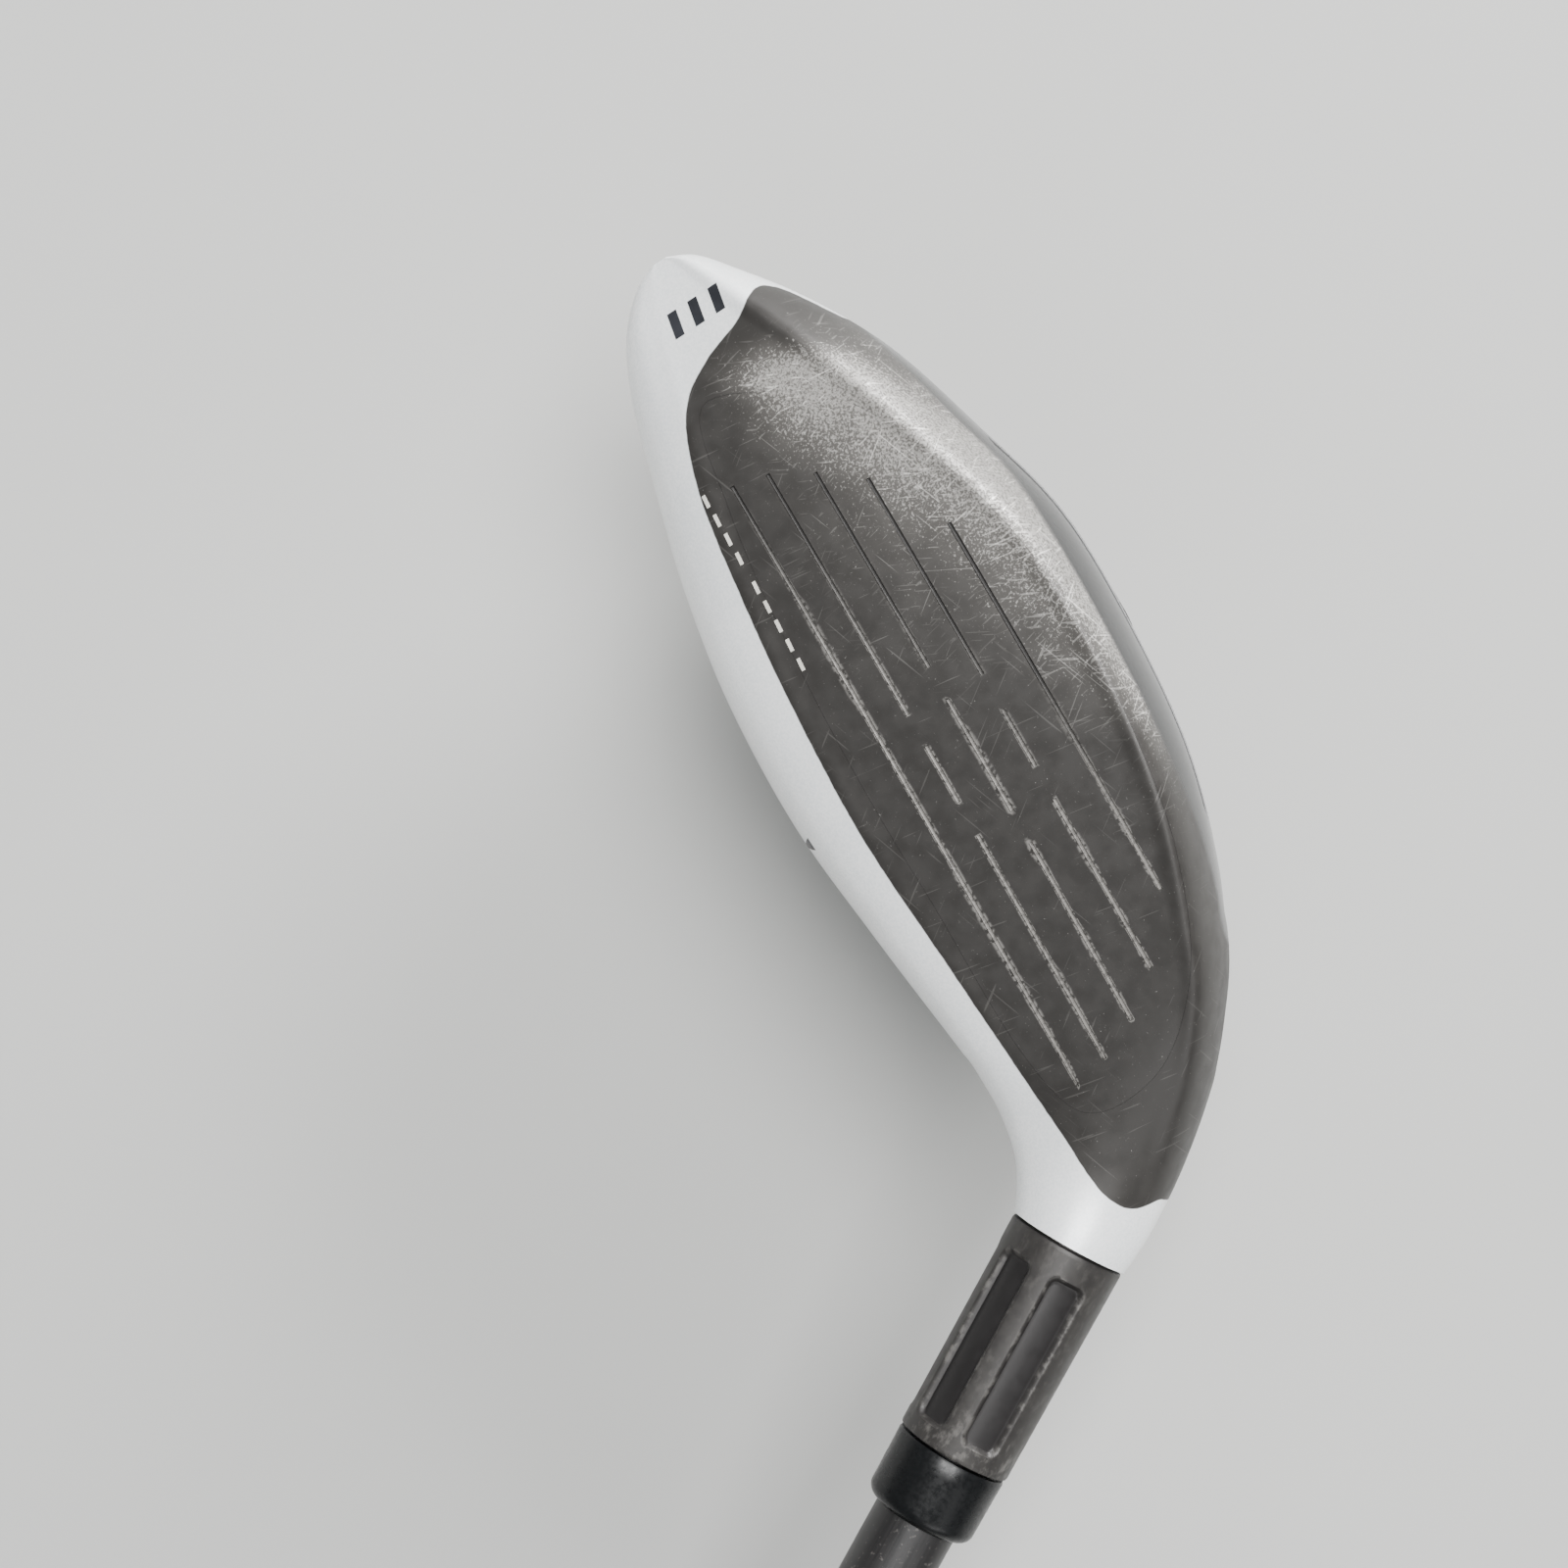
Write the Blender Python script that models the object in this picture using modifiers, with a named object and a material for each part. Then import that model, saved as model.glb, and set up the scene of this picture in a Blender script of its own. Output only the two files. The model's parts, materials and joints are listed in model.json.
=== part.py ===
"""Left-handed adjustable hybrid golf club: hollow head, loft sleeve, shaft and grip.

The pieces are modelled as the club stands at address: X runs from heel to toe,
the face looks along -Y and Z is up. The origin is the centre of the face. One
empty, club, then lays the whole club down with its face up.
"""

import math

import bmesh
import bpy
from mathutils import Matrix, Vector

MM = 0.001

# Driving dimensions, in millimetres and degrees.
LIE_DEG = 59.0
LOFT_DEG = 19.0
FACE_RADIUS = 280.0  # bulge and roll
CLUB_LENGTH = 1030.0  # sole to grip cap along the shaft axis
GAP = 0.3  # between pieces that touch
RUN_GAP = 0.15  # radial, between a turned piece and its bore
BODY_WALL = 1.7
CROWN_WALL = 1.3
FACE_WALL = 2.3

# Hosel and the pieces on its axis. Heights run along the axis from the hosel's end.
HOSEL_RADIUS = 6.8
HOSEL_END = (-53.6, 12.0, 14.2)
HOSEL_TO_SOLE = 47.0
HOSEL_BORE_DEPTH = 10.5  # then it narrows to the splined end's bore
SPLINE_BORE_RADIUS = 4.8
SLEEVE_DEPTH = 17.3  # inside the hosel
SLEEVE_WALL = 0.65  # between the shaft and the hosel's bore
SLEEVE_SHOWN = 25.5
SLEEVE_SHOWN_RADIUS = 6.6
SLEEVE_TOP_RADIUS = 6.45
SLEEVE_FLOOR = 11.0  # solid end that holds the thread
SPLINE_COUNT = 12
SPLINE_HEIGHT = 5.0
SPLINE_DEPTH = 0.5
SLEEVE_STEP = 0.4  # chamfers on the sleeve's inner end
POCKET_COUNT = 5
POCKET_STEP_DEG = -60.0
POCKET_FIRST_DEG = 192.0  # 12 degrees past the direction that the face looks in
POCKET_LENGTH = 20.0
POCKET_WIDTH = 4.0
POCKET_DEPTH = 0.7
FERRULE_LENGTH = 8.0
FERRULE_RADIUS = 6.25
FERRULE_ROUND = 1.4
SHAFT_TIP_RADIUS = 4.7
HOSEL_BORE_RADIUS = SHAFT_TIP_RADIUS + SLEEVE_WALL + 2 * RUN_GAP
SHAFT_BUTT_RADIUS = 7.6
SHAFT_WALL = 1.3
SHAFT_TIP_PARALLEL = 100.0
PLUG_LENGTH = 9.0

# Bolt that holds the sleeve.
BOLT_RADIUS = 2.5
BOLT_HEAD_RADIUS = 4.2
BOLT_HEAD_HEIGHT = 3.4
BOLT_GRIP_IN_SLEEVE = 8.0
BOLT_SOCKET_RADIUS = 2.2
BOLT_SOCKET_DEPTH = 2.2
WASHER_THICK = 1.2
SEAT_THICK = 2.0
PORT_RADIUS = 5.2
HOSEL_TUBE_RADIUS = 7.6
RETAINER_HEIGHT = 1.2

# Grip.
GRIP_LENGTH = 267.0
GRIP_BUTT_RADIUS = 13.4
GRIP_MOUTH_WALL = 1.9
TAPE_THICK = 0.35
GRIP_CAP_THICK = 3.2
VENT_RADIUS = 1.8

# Weight track in the sole, an arc about a centre high above the sole.
TRACK_MIDDLE = (2.0, 31.0)
TRACK_RADIUS = 100.0
TRACK_TILT_DEG = 9.0
TRACK_HALF_DEG = 13.0
RECESS_WIDTH = 13.0
RECESS_DEPTH = 4.4
LIP_THICK = 2.0
LIP_SLOT_WIDTH = 7.4
CHAMBER_WIDTH = 12.0
CHAMBER_DEPTH = 4.4
TRACK_WALL = 1.7
WEIGHT_LENGTH = 17.0
NUT_THICK = 2.4
NUT_LENGTH = 12.0
SCREW_RADIUS = 2.0
SCREW_HEAD_RADIUS = 3.4
SCREW_HEAD_HEIGHT = 2.2
SCREW_SOCKET_RADIUS = 1.7

# Face, crown and sole pieces.
FACE_REACH = 5.9  # depth of the face opening at its centre
CROWN_EDGE = (  # edge of the crown plate seen from above: towards the toe, and back
    (-29.0, 9.5),
    (-10.0, 8.5),
    (10.0, 8.5),
    (28.0, 9.5),
    (40.5, 13.0),
    (42.0, 21.0),
    (34.0, 33.0),
    (20.0, 42.0),
    (3.0, 45.5),
    (-14.0, 41.5),
    (-28.0, 30.0),
    (-33.5, 17.0),
)
CROWN_LOW = 1.5  # the crown opening reaches down to this height
SLOT_LENGTH = 58.0
SLOT_WIDTH = 3.6
SLOT_CENTRE = (3.0, 8.0)
SLOT_FILLER_DEPTH = 2.6
PAD_SIZE = (12.0, 5.0)
PAD_CENTRE = (6.0, 19.0)
PAD_THICK = 1.1
PAD_PROUD = 0.15
SCORE_RADIUS = 0.42
SCORE_LINES = (  # height on the face, then the heel-to-toe ends of each stroke
    (5.1, ((-38.8, 34.6),)),
    (1.3, ((-37.2, -10.1), (-6.1, 0.7), (4.4, 33.7))),
    (-3.0, ((-34.9, -13.4), (-9.6, 3.8), (7.6, 31.2))),
    (-7.3, ((-30.9, -10.6), (-6.7, 0.0), (4.2, 27.8))),
    (-12.1, ((-24.2, 19.5),)),
)

# The head's lines, from the hosel's end to the toe. Up to FAN_X the sections stand
# upright at x. Past it they fan about one point until they are square to the hosel.
# Each row: fan angle or x, crown, face top, face bottom, sole, rear height, rear depth.
FAN_REACH = 27.0
FAN_ARC = 30.0
HEAD_LINES = (
    ("fan", 59.0, 7.9, 4.5, -2.0, -5.7, 1.1, 18.8),
    ("fan", 44.0, 9.7, 5.4, -3.2, -7.4, 0.6, 21.5),
    ("fan", 30.0, 11.6, 7.0, -5.4, -10.0, -1.2, 27.0),
    ("fan", 15.0, 13.1, 8.6, -8.6, -14.2, -4.6, 35.0),
    ("x", -30.5, 13.8, 10.0, -12.2, -18.9, -8.0, 44.0),
    ("x", -15.0, 15.7, 11.3, -16.8, -23.9, -11.5, 53.0),
    ("x", 0.0, 17.2, 11.8, -18.4, -25.5, -13.0, 57.5),
    ("x", 15.0, 16.8, 11.2, -17.8, -25.4, -13.0, 57.0),
    ("x", 28.0, 14.9, 9.6, -14.4, -22.0, -11.5, 52.0),
    ("x", 40.0, 12.0, 7.2, -10.4, -18.0, -9.0, 43.0),
    ("x", 49.0, 9.5, 5.0, -6.8, -12.6, -5.2, 32.5),
    ("x", 55.0, 6.6, 3.2, -4.2, -7.6, -2.4, 23.5),
    ("x", 58.4, 3.2, 1.6, -2.4, -4.2, -0.8, 16.5),
    ("x", 59.4, 1.0, 0.5, -1.0, -1.8, -0.4, 13.0),
)
FACE_EDGE = 2.2  # the face is flat up to this far from its edges
SKIRT = 0.42  # share of the section's height that the rear edge takes
STEPS_ALONG = 2
CAVITY_FIRST = 5  # the cavity starts past this section and ends this many before the toe
CAVITY_LAST = -4
STEPS_ROUND = 3

# Face seam, seen square to the face: heel-to-toe and height.
FACE_SEAM = (
    (-41.0, 7.6),
    (-12.0, 9.6),
    (14.0, 9.3),
    (33.0, 7.6),
    (43.5, 5.0),
    (41.3, -2.0),
    (36.5, -8.6),
    (28.0, -13.8),
    (15.0, -18.0),
    (3.0, -19.0),
    (-10.0, -18.2),
    (-22.0, -15.6),
    (-34.0, -10.0),
    (-41.5, -1.0),
)


def clear_scene():
    for obj in list(bpy.data.objects):
        bpy.data.objects.remove(obj, do_unlink=True)


def new_collection(name):
    collection = bpy.data.collections.new(name)
    bpy.context.scene.collection.children.link(collection)
    return collection


def material(name, colour, roughness, metallic):
    made = bpy.data.materials.new(name)
    made.use_nodes = True
    shader = made.node_tree.nodes["Principled BSDF"]
    shader.inputs["Base Color"].default_value = (*colour, 1.0)
    shader.inputs["Roughness"].default_value = roughness
    shader.inputs["Metallic"].default_value = metallic
    made.diffuse_color = (*colour, 1.0)
    return made


def frame_empty(name, matrix, parent, collection):
    empty = bpy.data.objects.new(name, None)
    collection.objects.link(empty)
    empty.parent = parent
    empty.matrix_local = matrix
    empty.empty_display_size = 0.01
    return empty


def mesh_object(name, verts, faces, place):
    """A mesh object whose vertices are in millimetres in its parent's frame."""
    mesh = bpy.data.meshes.new(name)
    mesh.from_pydata([Vector(v) * MM for v in verts], [], faces)
    shape = bmesh.new()
    shape.from_mesh(mesh)
    bmesh.ops.recalc_face_normals(shape, faces=shape.faces)
    if shape.calc_volume(signed=True) < 0:
        bmesh.ops.reverse_faces(shape, faces=shape.faces)
    shape.to_mesh(mesh)
    shape.free()
    obj = bpy.data.objects.new(name, mesh)
    place["collection"].objects.link(obj)
    obj.parent = place["parent"]
    if "material" in place:
        mesh.materials.append(place["material"])
    if place.get("cutter"):
        obj.hide_render = True
        obj.display_type = "WIRE"
    return obj


def smooth(obj, angle_deg=35.0):
    obj.data.shade_smooth()
    obj.data.set_sharp_from_angle(angle=math.radians(angle_deg))
    return obj


def boolean(obj, tool, operation="DIFFERENCE"):
    modifier = obj.modifiers.new(operation.title(), "BOOLEAN")
    modifier.operation = operation
    modifier.object = tool
    modifier.solver = "EXACT"
    return obj


def turned(name, profile, place, steps=40, height=0.0):
    """A turned piece about the parent's Z axis.

    A profile that starts and ends on the axis makes a solid piece. Any other is
    closed into a loop, so the piece has a bore. It runs down the outer side.
    """
    solid = profile[0][0] == 0.0 and profile[-1][0] == 0.0
    count = len(profile)
    mesh = bpy.data.meshes.new(name)
    edges = [(i, i + 1) for i in range(count - 1)]
    if not solid:
        edges.append((count - 1, 0))
    mesh.from_pydata([(r * MM, 0.0, (z - height) * MM) for r, z in profile], edges, [])
    obj = bpy.data.objects.new(name, mesh)
    place["collection"].objects.link(obj)
    obj.parent = place["parent"]
    obj.location = (0.0, 0.0, height * MM)
    if "material" in place:
        mesh.materials.append(place["material"])
    if place.get("cutter"):
        obj.hide_render = True
        obj.display_type = "WIRE"
    screw = obj.modifiers.new("Turn", "SCREW")
    screw.axis = "Z"
    screw.steps = steps
    screw.render_steps = steps
    screw.use_merge_vertices = True
    screw.merge_threshold = 0.00005
    screw.use_smooth_shade = True
    return obj


def prism(name, outline, low, high, place):
    """The outline, seen along the parent's Z axis, as a block from low to high."""
    count = len(outline)
    verts = [(x, y, low) for x, y in outline] + [(x, y, high) for x, y in outline]
    sides = [(i, (i + 1) % count, count + (i + 1) % count, count + i) for i in range(count)]
    ends = [tuple(range(count))[::-1], tuple(range(count, 2 * count))]
    return mesh_object(name, verts, sides + ends, place)


def arc_block(name, inner, outer, width, half_deg, place, steps=14):
    """A block that bends about the parent's Y axis, centred below that axis."""
    verts = []
    for i in range(steps + 1):
        angle = math.radians(half_deg) * (2.0 * i / steps - 1.0)
        for radius, y in ((inner, -1), (outer, -1), (outer, 1), (inner, 1)):
            verts.append((radius * math.sin(angle), y * width / 2, -radius * math.cos(angle)))
    faces = [(0, 1, 2, 3), tuple(4 * steps + k for k in (3, 2, 1, 0))]
    for i in range(steps):
        for k in range(4):
            a, b = 4 * i + k, 4 * i + (k + 1) % 4
            faces.append((a, b, b + 4, a + 4))
    return mesh_object(name, verts, faces, place)


def rounded_slot(centre, size, steps=8):
    """Outline of a slot with round ends, its length along X."""
    half = size[0] / 2 - size[1] / 2
    radius = size[1] / 2
    outline = []
    for side in (1, -1):
        for i in range(steps + 1):
            turn = math.radians(-90 + 180 * i / steps) + (0 if side > 0 else math.pi)
            outline.append(
                (centre[0] + side * half + radius * math.cos(turn), centre[1] + radius * math.sin(turn))
            )
    return outline


def curve_through(points, steps, closed):
    """Centripetal Catmull-Rom curve through tuples of numbers."""
    count = len(points)
    found = []
    spans = count if closed else count - 1
    for i in range(spans):
        if closed:
            before, start, end, after = (points[(i + k) % count] for k in (-1, 0, 1, 2))
        else:
            start, end = points[i], points[i + 1]
            before = points[i - 1] if i else [2 * a - b for a, b in zip(start, end)]
            after = points[i + 2] if i + 2 < count else [2 * b - a for a, b in zip(start, end)]
        first, span, last = (math.sqrt(math.dist(*pair)) for pair in ((before, start), (start, end), (end, after)))
        for k in range(steps):
            t = k / steps
            point = []
            for a, b, c, d in zip(before, start, end, after):
                leave = ((b - a) / first - (c - a) / (first + span) + (c - b) / span) * span
                arrive = ((c - b) / span - (d - b) / (span + last) + (d - c) / last) * span
                point.append(
                    (2 * t**3 - 3 * t * t + 1) * b
                    + (t**3 - 2 * t * t + t) * leave
                    + (3 * t * t - 2 * t**3) * c
                    + (t**3 - t * t) * arrive
                )
            found.append(tuple(point))
    if not closed:
        found.append(tuple(points[-1]))
    return found


def offset_outline(outline, distance):
    """The outline moved inwards by a distance. It runs either way round."""
    count = len(outline)
    area = sum(
        outline[i][0] * outline[(i + 1) % count][1] - outline[(i + 1) % count][0] * outline[i][1]
        for i in range(count)
    )
    side = 1.0 if area > 0 else -1.0
    moved = []
    for i, (x, y) in enumerate(outline):
        ax, ay = outline[i - 1]
        bx, by = outline[(i + 1) % count]
        length = math.hypot(bx - ax, by - ay)
        moved.append((x - side * distance * (by - ay) / length, y + side * distance * (bx - ax) / length))
    return moved


# Directions and frames worked out from the driving dimensions.
LIE = math.radians(LIE_DEG)
LOFT = math.radians(LOFT_DEG)
UP_SHAFT = Vector((-math.cos(LIE), 0.0, math.sin(LIE)))
ACROSS = Vector((math.sin(LIE), 0.0, math.cos(LIE)))
FAN_POINT = Vector(HOSEL_END) + ACROSS * FAN_REACH
FAN_X = FAN_POINT.x
HEAD_TURN = (225, 211, 182, 152, 138, 115, 90, 50, 15, -15, -50, -90, -113)


def face_depth(x, height):
    """How far back the face's surface lies."""
    return math.tan(LOFT) * height + (x * x + height * height) / (2 * FACE_RADIUS)


def head_section(row, wall):
    """One section of the head, as points (back, up), a wall's thickness under its surface."""
    along, crown, face_top, face_low, sole, rear, depth, fan = row
    crown, face_top, face_low, sole = crown - wall, face_top - wall, face_low + 1.3 * wall, sole + wall
    depth -= wall
    behind = wall / math.cos(LOFT)
    front = face_depth(along, (face_top + face_low) / 2) + behind
    deep = depth - front
    skirt = SKIRT * min(9.0, (crown - sole) / 2)
    edge = min(FACE_EDGE, (face_top - face_low) / 4)
    on_face = (face_low, face_low + edge, (face_low + face_top) / 2, face_top - edge, face_top)
    keys = [(face_depth(along, height) + behind, height) for height in on_face]
    keys += [
        (front + 0.14 * deep, face_top + 0.70 * (crown - face_top)),
        (front + 0.33 * deep, crown),
        (front + 0.73 * deep, crown - 0.36 * (crown - rear)),
        (depth - 0.02 * deep, rear + skirt / 2),
        (depth - 0.02 * deep, rear - skirt / 2),
        (front + 0.74 * deep, sole + 0.30 * (rear - sole)),
        (front + 0.38 * deep, sole),
        (front + 0.13 * deep, sole + 0.26 * (face_low - sole)),
    ]
    points = curve_through(keys, STEPS_ROUND, closed=True)
    if not fan:
        return points
    share = min(1.0, fan / LIE)
    share = share * share * (3 - 2 * share)
    turns = list(HEAD_TURN) + [HEAD_TURN[0] - 360]
    angles = []
    for i in range(len(HEAD_TURN)):
        for k in range(STEPS_ROUND):
            angles.append(math.radians(turns[i] + (turns[i + 1] - turns[i]) * k / STEPS_ROUND))
    round_front = (1 - share) * front + share * (HOSEL_END[1] - HOSEL_RADIUS + wall)
    middle = ((round_front + depth) / 2, (crown + sole) / 2)
    half = ((depth - round_front) / 2, (crown - sole) / 2)
    round_end = [(middle[0] + half[0] * math.cos(a), middle[1] + half[1] * math.sin(a)) for a in angles]
    return [
        tuple((1 - share) * p + share * q for p, q in zip(point, target))
        for point, target in zip(points, round_end)
    ]


def head_rows():
    """The rows of HEAD_LINES, filled in between."""
    rows = []
    for kind, place, crown, face_top, face_low, sole, rear, depth in HEAD_LINES:
        fan = math.radians(place) if kind == "fan" else 0.0
        along = FAN_X - FAN_ARC * fan if kind == "fan" else place
        rows.append((along, crown, face_top, face_low, sole, rear, depth))
    filled = curve_through(rows, STEPS_ALONG, closed=False)
    return [(*row, max(0.0, (FAN_X - row[0]) / FAN_ARC)) for row in filled]


def head_rings(wall=0.0):
    """The head's surface, or one a wall's thickness inside it, as rings from the hosel to the toe."""
    rings = []
    rows = head_rows()
    if wall:
        rows = rows[CAVITY_FIRST:CAVITY_LAST]
    for row in rows:
        fan = row[-1]
        ring = []
        for back, up in head_section(row, wall):
            if fan:
                reach = FAN_POINT.z - up
                x = FAN_POINT.x - reach * math.sin(fan)
                ring.append(Vector((x, back, FAN_POINT.z - reach * math.cos(fan))))
            else:
                ring.append(Vector((row[0], back, up)))
        rings.append(ring)
    return rings


def ring_solid(name, rings, place):
    count = len(rings[0])
    verts = [point for ring in rings for point in ring]
    faces = [tuple(range(count)), tuple(len(verts) - 1 - k for k in range(count))]
    for i in range(len(rings) - 1):
        for k in range(count):
            a, b = i * count + k, i * count + (k + 1) % count
            faces.append((a, b, b + count, a + count))
    return mesh_object(name, verts, faces, place)


def cylinder(name, radius, low, high, place, steps=40):
    return turned(name, [(0.0, high), (radius, high), (radius, low), (0.0, low)], place, steps)


def sole_height(rings, x, y):
    """Height of the sole's surface under a point, from the nearest section."""
    ring = min(rings, key=lambda r: abs(sum(p.x for p in r) / len(r) - x))
    low = [p for p in ring if p.z < (min(q.z for q in ring) + max(q.z for q in ring)) / 2]
    low.sort(key=lambda p: p.y)
    for a, b in zip(low, low[1:]):
        if a.y <= y <= b.y:
            return a.z + (b.z - a.z) * (y - a.y) / (b.y - a.y)
    return min(p.z for p in ring)


def build():
    clear_scene()
    parts = new_collection("hybrid_golf_club")
    cutters = new_collection("cutters")
    paint = {
        "silver": material("silver_paint", (0.74, 0.77, 0.79), 0.35, 0.3),
        "charcoal": material("charcoal_face", (0.06, 0.055, 0.05), 0.4, 0.8),
        "black": material("gloss_black", (0.01, 0.01, 0.012), 0.15, 0.0),
        "sleeve": material("grey_anodised", (0.07, 0.065, 0.06), 0.4, 0.9),
        "ferrule": material("black_abs", (0.02, 0.02, 0.024), 0.4, 0.0),
        "steel": material("bright_steel", (0.55, 0.55, 0.55), 0.3, 1.0),
        "graphite": material("graphite_lacquer", (0.035, 0.032, 0.033), 0.35, 0.0),
        "rubber": material("grip_rubber", (0.02, 0.02, 0.02), 0.85, 0.0),
        "polymer": material("slot_polymer", (0.03, 0.03, 0.03), 0.6, 0.0),
        "tape": material("tape_paper", (0.55, 0.5, 0.4), 0.9, 0.0),
    }

    # The face looks up, the shaft lies along -X, and the grip dips to the same floor.
    rings = head_rings()
    butt = CLUB_LENGTH - HOSEL_TO_SOLE
    back = max(p.y for ring in rings for p in ring)
    dip = math.asin((back - HOSEL_END[1] - GRIP_BUTT_RADIUS) / butt)
    lay = Matrix((UP_SHAFT * -1.0, ACROSS, (0.0, -1.0, 0.0))).to_4x4()
    tilt = Matrix.Rotation(-dip, 4, "Y")
    turned_over = tilt @ lay
    club = frame_empty("club", turned_over, None, parts)

    head = {"collection": parts, "parent": club}
    tool = {"collection": cutters, "parent": club, "cutter": True}
    axis = frame_empty(
        "hosel_axis",
        Matrix.Translation(Vector(HOSEL_END) * MM)
        @ Matrix((ACROSS, (0.0, 1.0, 0.0), UP_SHAFT)).transposed().to_4x4(),
        club,
        parts,
    )
    on_axis = {"collection": parts, "parent": axis}
    axis_tool = {"collection": cutters, "parent": axis, "cutter": True}
    build_head(rings, head, tool, axis_tool, paint)
    build_weight(parts, cutters, paint)
    build_sleeve_and_bolt(on_axis, axis_tool, paint)
    build_shaft_and_grip(on_axis, axis_tool, paint, butt)
    settle(club)


def track_frame(rings):
    """Centre line of the track's arc: its X and Y stay the head's, tilted with the sole."""
    tilt = Matrix.Rotation(math.radians(TRACK_TILT_DEG), 4, "X")
    x, y = TRACK_MIDDLE
    surface = Vector((x, y, sole_height(rings, x, y)))
    centre = surface + tilt @ Vector((0.0, 0.0, TRACK_RADIUS))
    return Matrix.Translation(centre * MM) @ tilt


def shell_solid(name, rings, wall, head, tool):
    """The head's outer form with its inside cut away, before it is cut to a piece."""
    piece = ring_solid(name, rings, head)
    inside = ring_solid(name + "_inside", head_rings(wall), tool)
    return boolean(piece, inside), inside


def face_frame():
    """A frame on the face: X towards the toe, Y up the face, Z out of it."""
    up = Vector((0.0, math.sin(LOFT), math.cos(LOFT)))
    out = Vector((0.0, -math.cos(LOFT), math.sin(LOFT)))
    return Matrix((Vector((1.0, 0.0, 0.0)), up, out)).transposed().to_4x4()


def build_head(rings, head, tool, axis_tool, paint):
    body, cavity = shell_solid("head_body", rings, BODY_WALL, {**head, "material": paint["silver"]}, tool)
    tube = cylinder("hosel_tube", HOSEL_TUBE_RADIUS, -HOSEL_TO_SOLE - 8, 6, axis_tool)
    boolean(cavity, tube)
    track_place = {**tool, "parent": track_parent(rings, head, tool)}
    inner = TRACK_RADIUS - RECESS_DEPTH - LIP_THICK - CHAMBER_DEPTH
    housing = arc_block(
        "track_housing",
        inner - TRACK_WALL,
        TRACK_RADIUS + 6,
        RECESS_WIDTH + 2 * TRACK_WALL,
        TRACK_HALF_DEG + math.degrees(TRACK_WALL / TRACK_RADIUS),
        track_place,
    )
    boolean(cavity, housing)
    boolean(body, arc_block(
        "track_recess", TRACK_RADIUS - RECESS_DEPTH, TRACK_RADIUS + 6, RECESS_WIDTH, TRACK_HALF_DEG, track_place
    ))
    lip_top = TRACK_RADIUS - RECESS_DEPTH - LIP_THICK
    boolean(body, arc_block(
        "track_slot", lip_top - 0.5, TRACK_RADIUS - RECESS_DEPTH + 0.5, LIP_SLOT_WIDTH, TRACK_HALF_DEG - 1.0,
        track_place,
    ))
    boolean(body, arc_block("track_chamber", inner, lip_top, CHAMBER_WIDTH, TRACK_HALF_DEG - 0.5, track_place))
    bore = turned(
        "hosel_bore",
        [
            (0.0, 5.0),
            (HOSEL_BORE_RADIUS, 5.0),
            (HOSEL_BORE_RADIUS, -HOSEL_BORE_DEPTH),
            (SPLINE_BORE_RADIUS, -HOSEL_BORE_DEPTH),
            (SPLINE_BORE_RADIUS, seat_top()),
            (0.0, seat_top()),
        ],
        axis_tool,
        48,
    )
    boolean(body, bore)
    boolean(body, cylinder("bolt_hole", BOLT_RADIUS + 0.35, -HOSEL_TO_SOLE, 0, axis_tool, 32))
    boolean(body, cylinder("bolt_port", PORT_RADIUS, -HOSEL_TO_SOLE - 12, seat_top() - SEAT_THICK, axis_tool, 40))

    face_place = {**tool, "parent": frame_empty("face_frame", face_frame(), head["parent"], head["collection"])}
    seam = curve_through(FACE_SEAM, 3, closed=True)
    boolean(body, prism("face_opening", seam, -FACE_REACH - GAP, 12.0, face_place))
    crown_edge = curve_through(CROWN_EDGE, 3, closed=True)
    boolean(body, prism("crown_opening", crown_edge, CROWN_LOW, 40.0, tool))
    slot = rounded_slot(SLOT_CENTRE, (SLOT_LENGTH, SLOT_WIDTH))
    boolean(body, prism("sole_slot", slot, -40.0, -12.0, tool))
    pad_top = min(p.z for ring in rings for p in ring) - PAD_PROUD
    pad = rounded_slot(PAD_CENTRE, PAD_SIZE)
    boolean(body, prism("pad_recess", offset_outline(pad, -GAP), -40.0, pad_top + PAD_THICK + GAP, tool))
    smooth(body)

    plate, _ = shell_solid("face_plate", rings, FACE_WALL, {**head, "material": paint["charcoal"]}, tool)
    boolean(plate, prism("face_blank", offset_outline(seam, GAP), -FACE_REACH, 12.0, face_place), "INTERSECT")
    for index, (height, strokes) in enumerate(SCORE_LINES):
        for number, ends in enumerate(strokes):
            boolean(plate, score_cutter(f"score_{index}_{number}", height, ends, tool))
    smooth(plate)

    crown, _ = shell_solid("crown_plate", rings, CROWN_WALL, {**head, "material": paint["silver"]}, tool)
    boolean(crown, prism("crown_blank", offset_outline(crown_edge, GAP), CROWN_LOW + GAP, 40.0, tool), "INTERSECT")
    smooth(crown)

    filler, _ = shell_solid(
        "sole_slot_filler", rings, SLOT_FILLER_DEPTH, {**head, "material": paint["polymer"]}, tool
    )
    boolean(filler, prism("filler_blank", offset_outline(slot, GAP), -40.0, -12.3, tool), "INTERSECT")
    smooth(filler)
    prism("sole_pad", pad, pad_top, pad_top + PAD_THICK, {**head, "material": paint["black"]})


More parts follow.
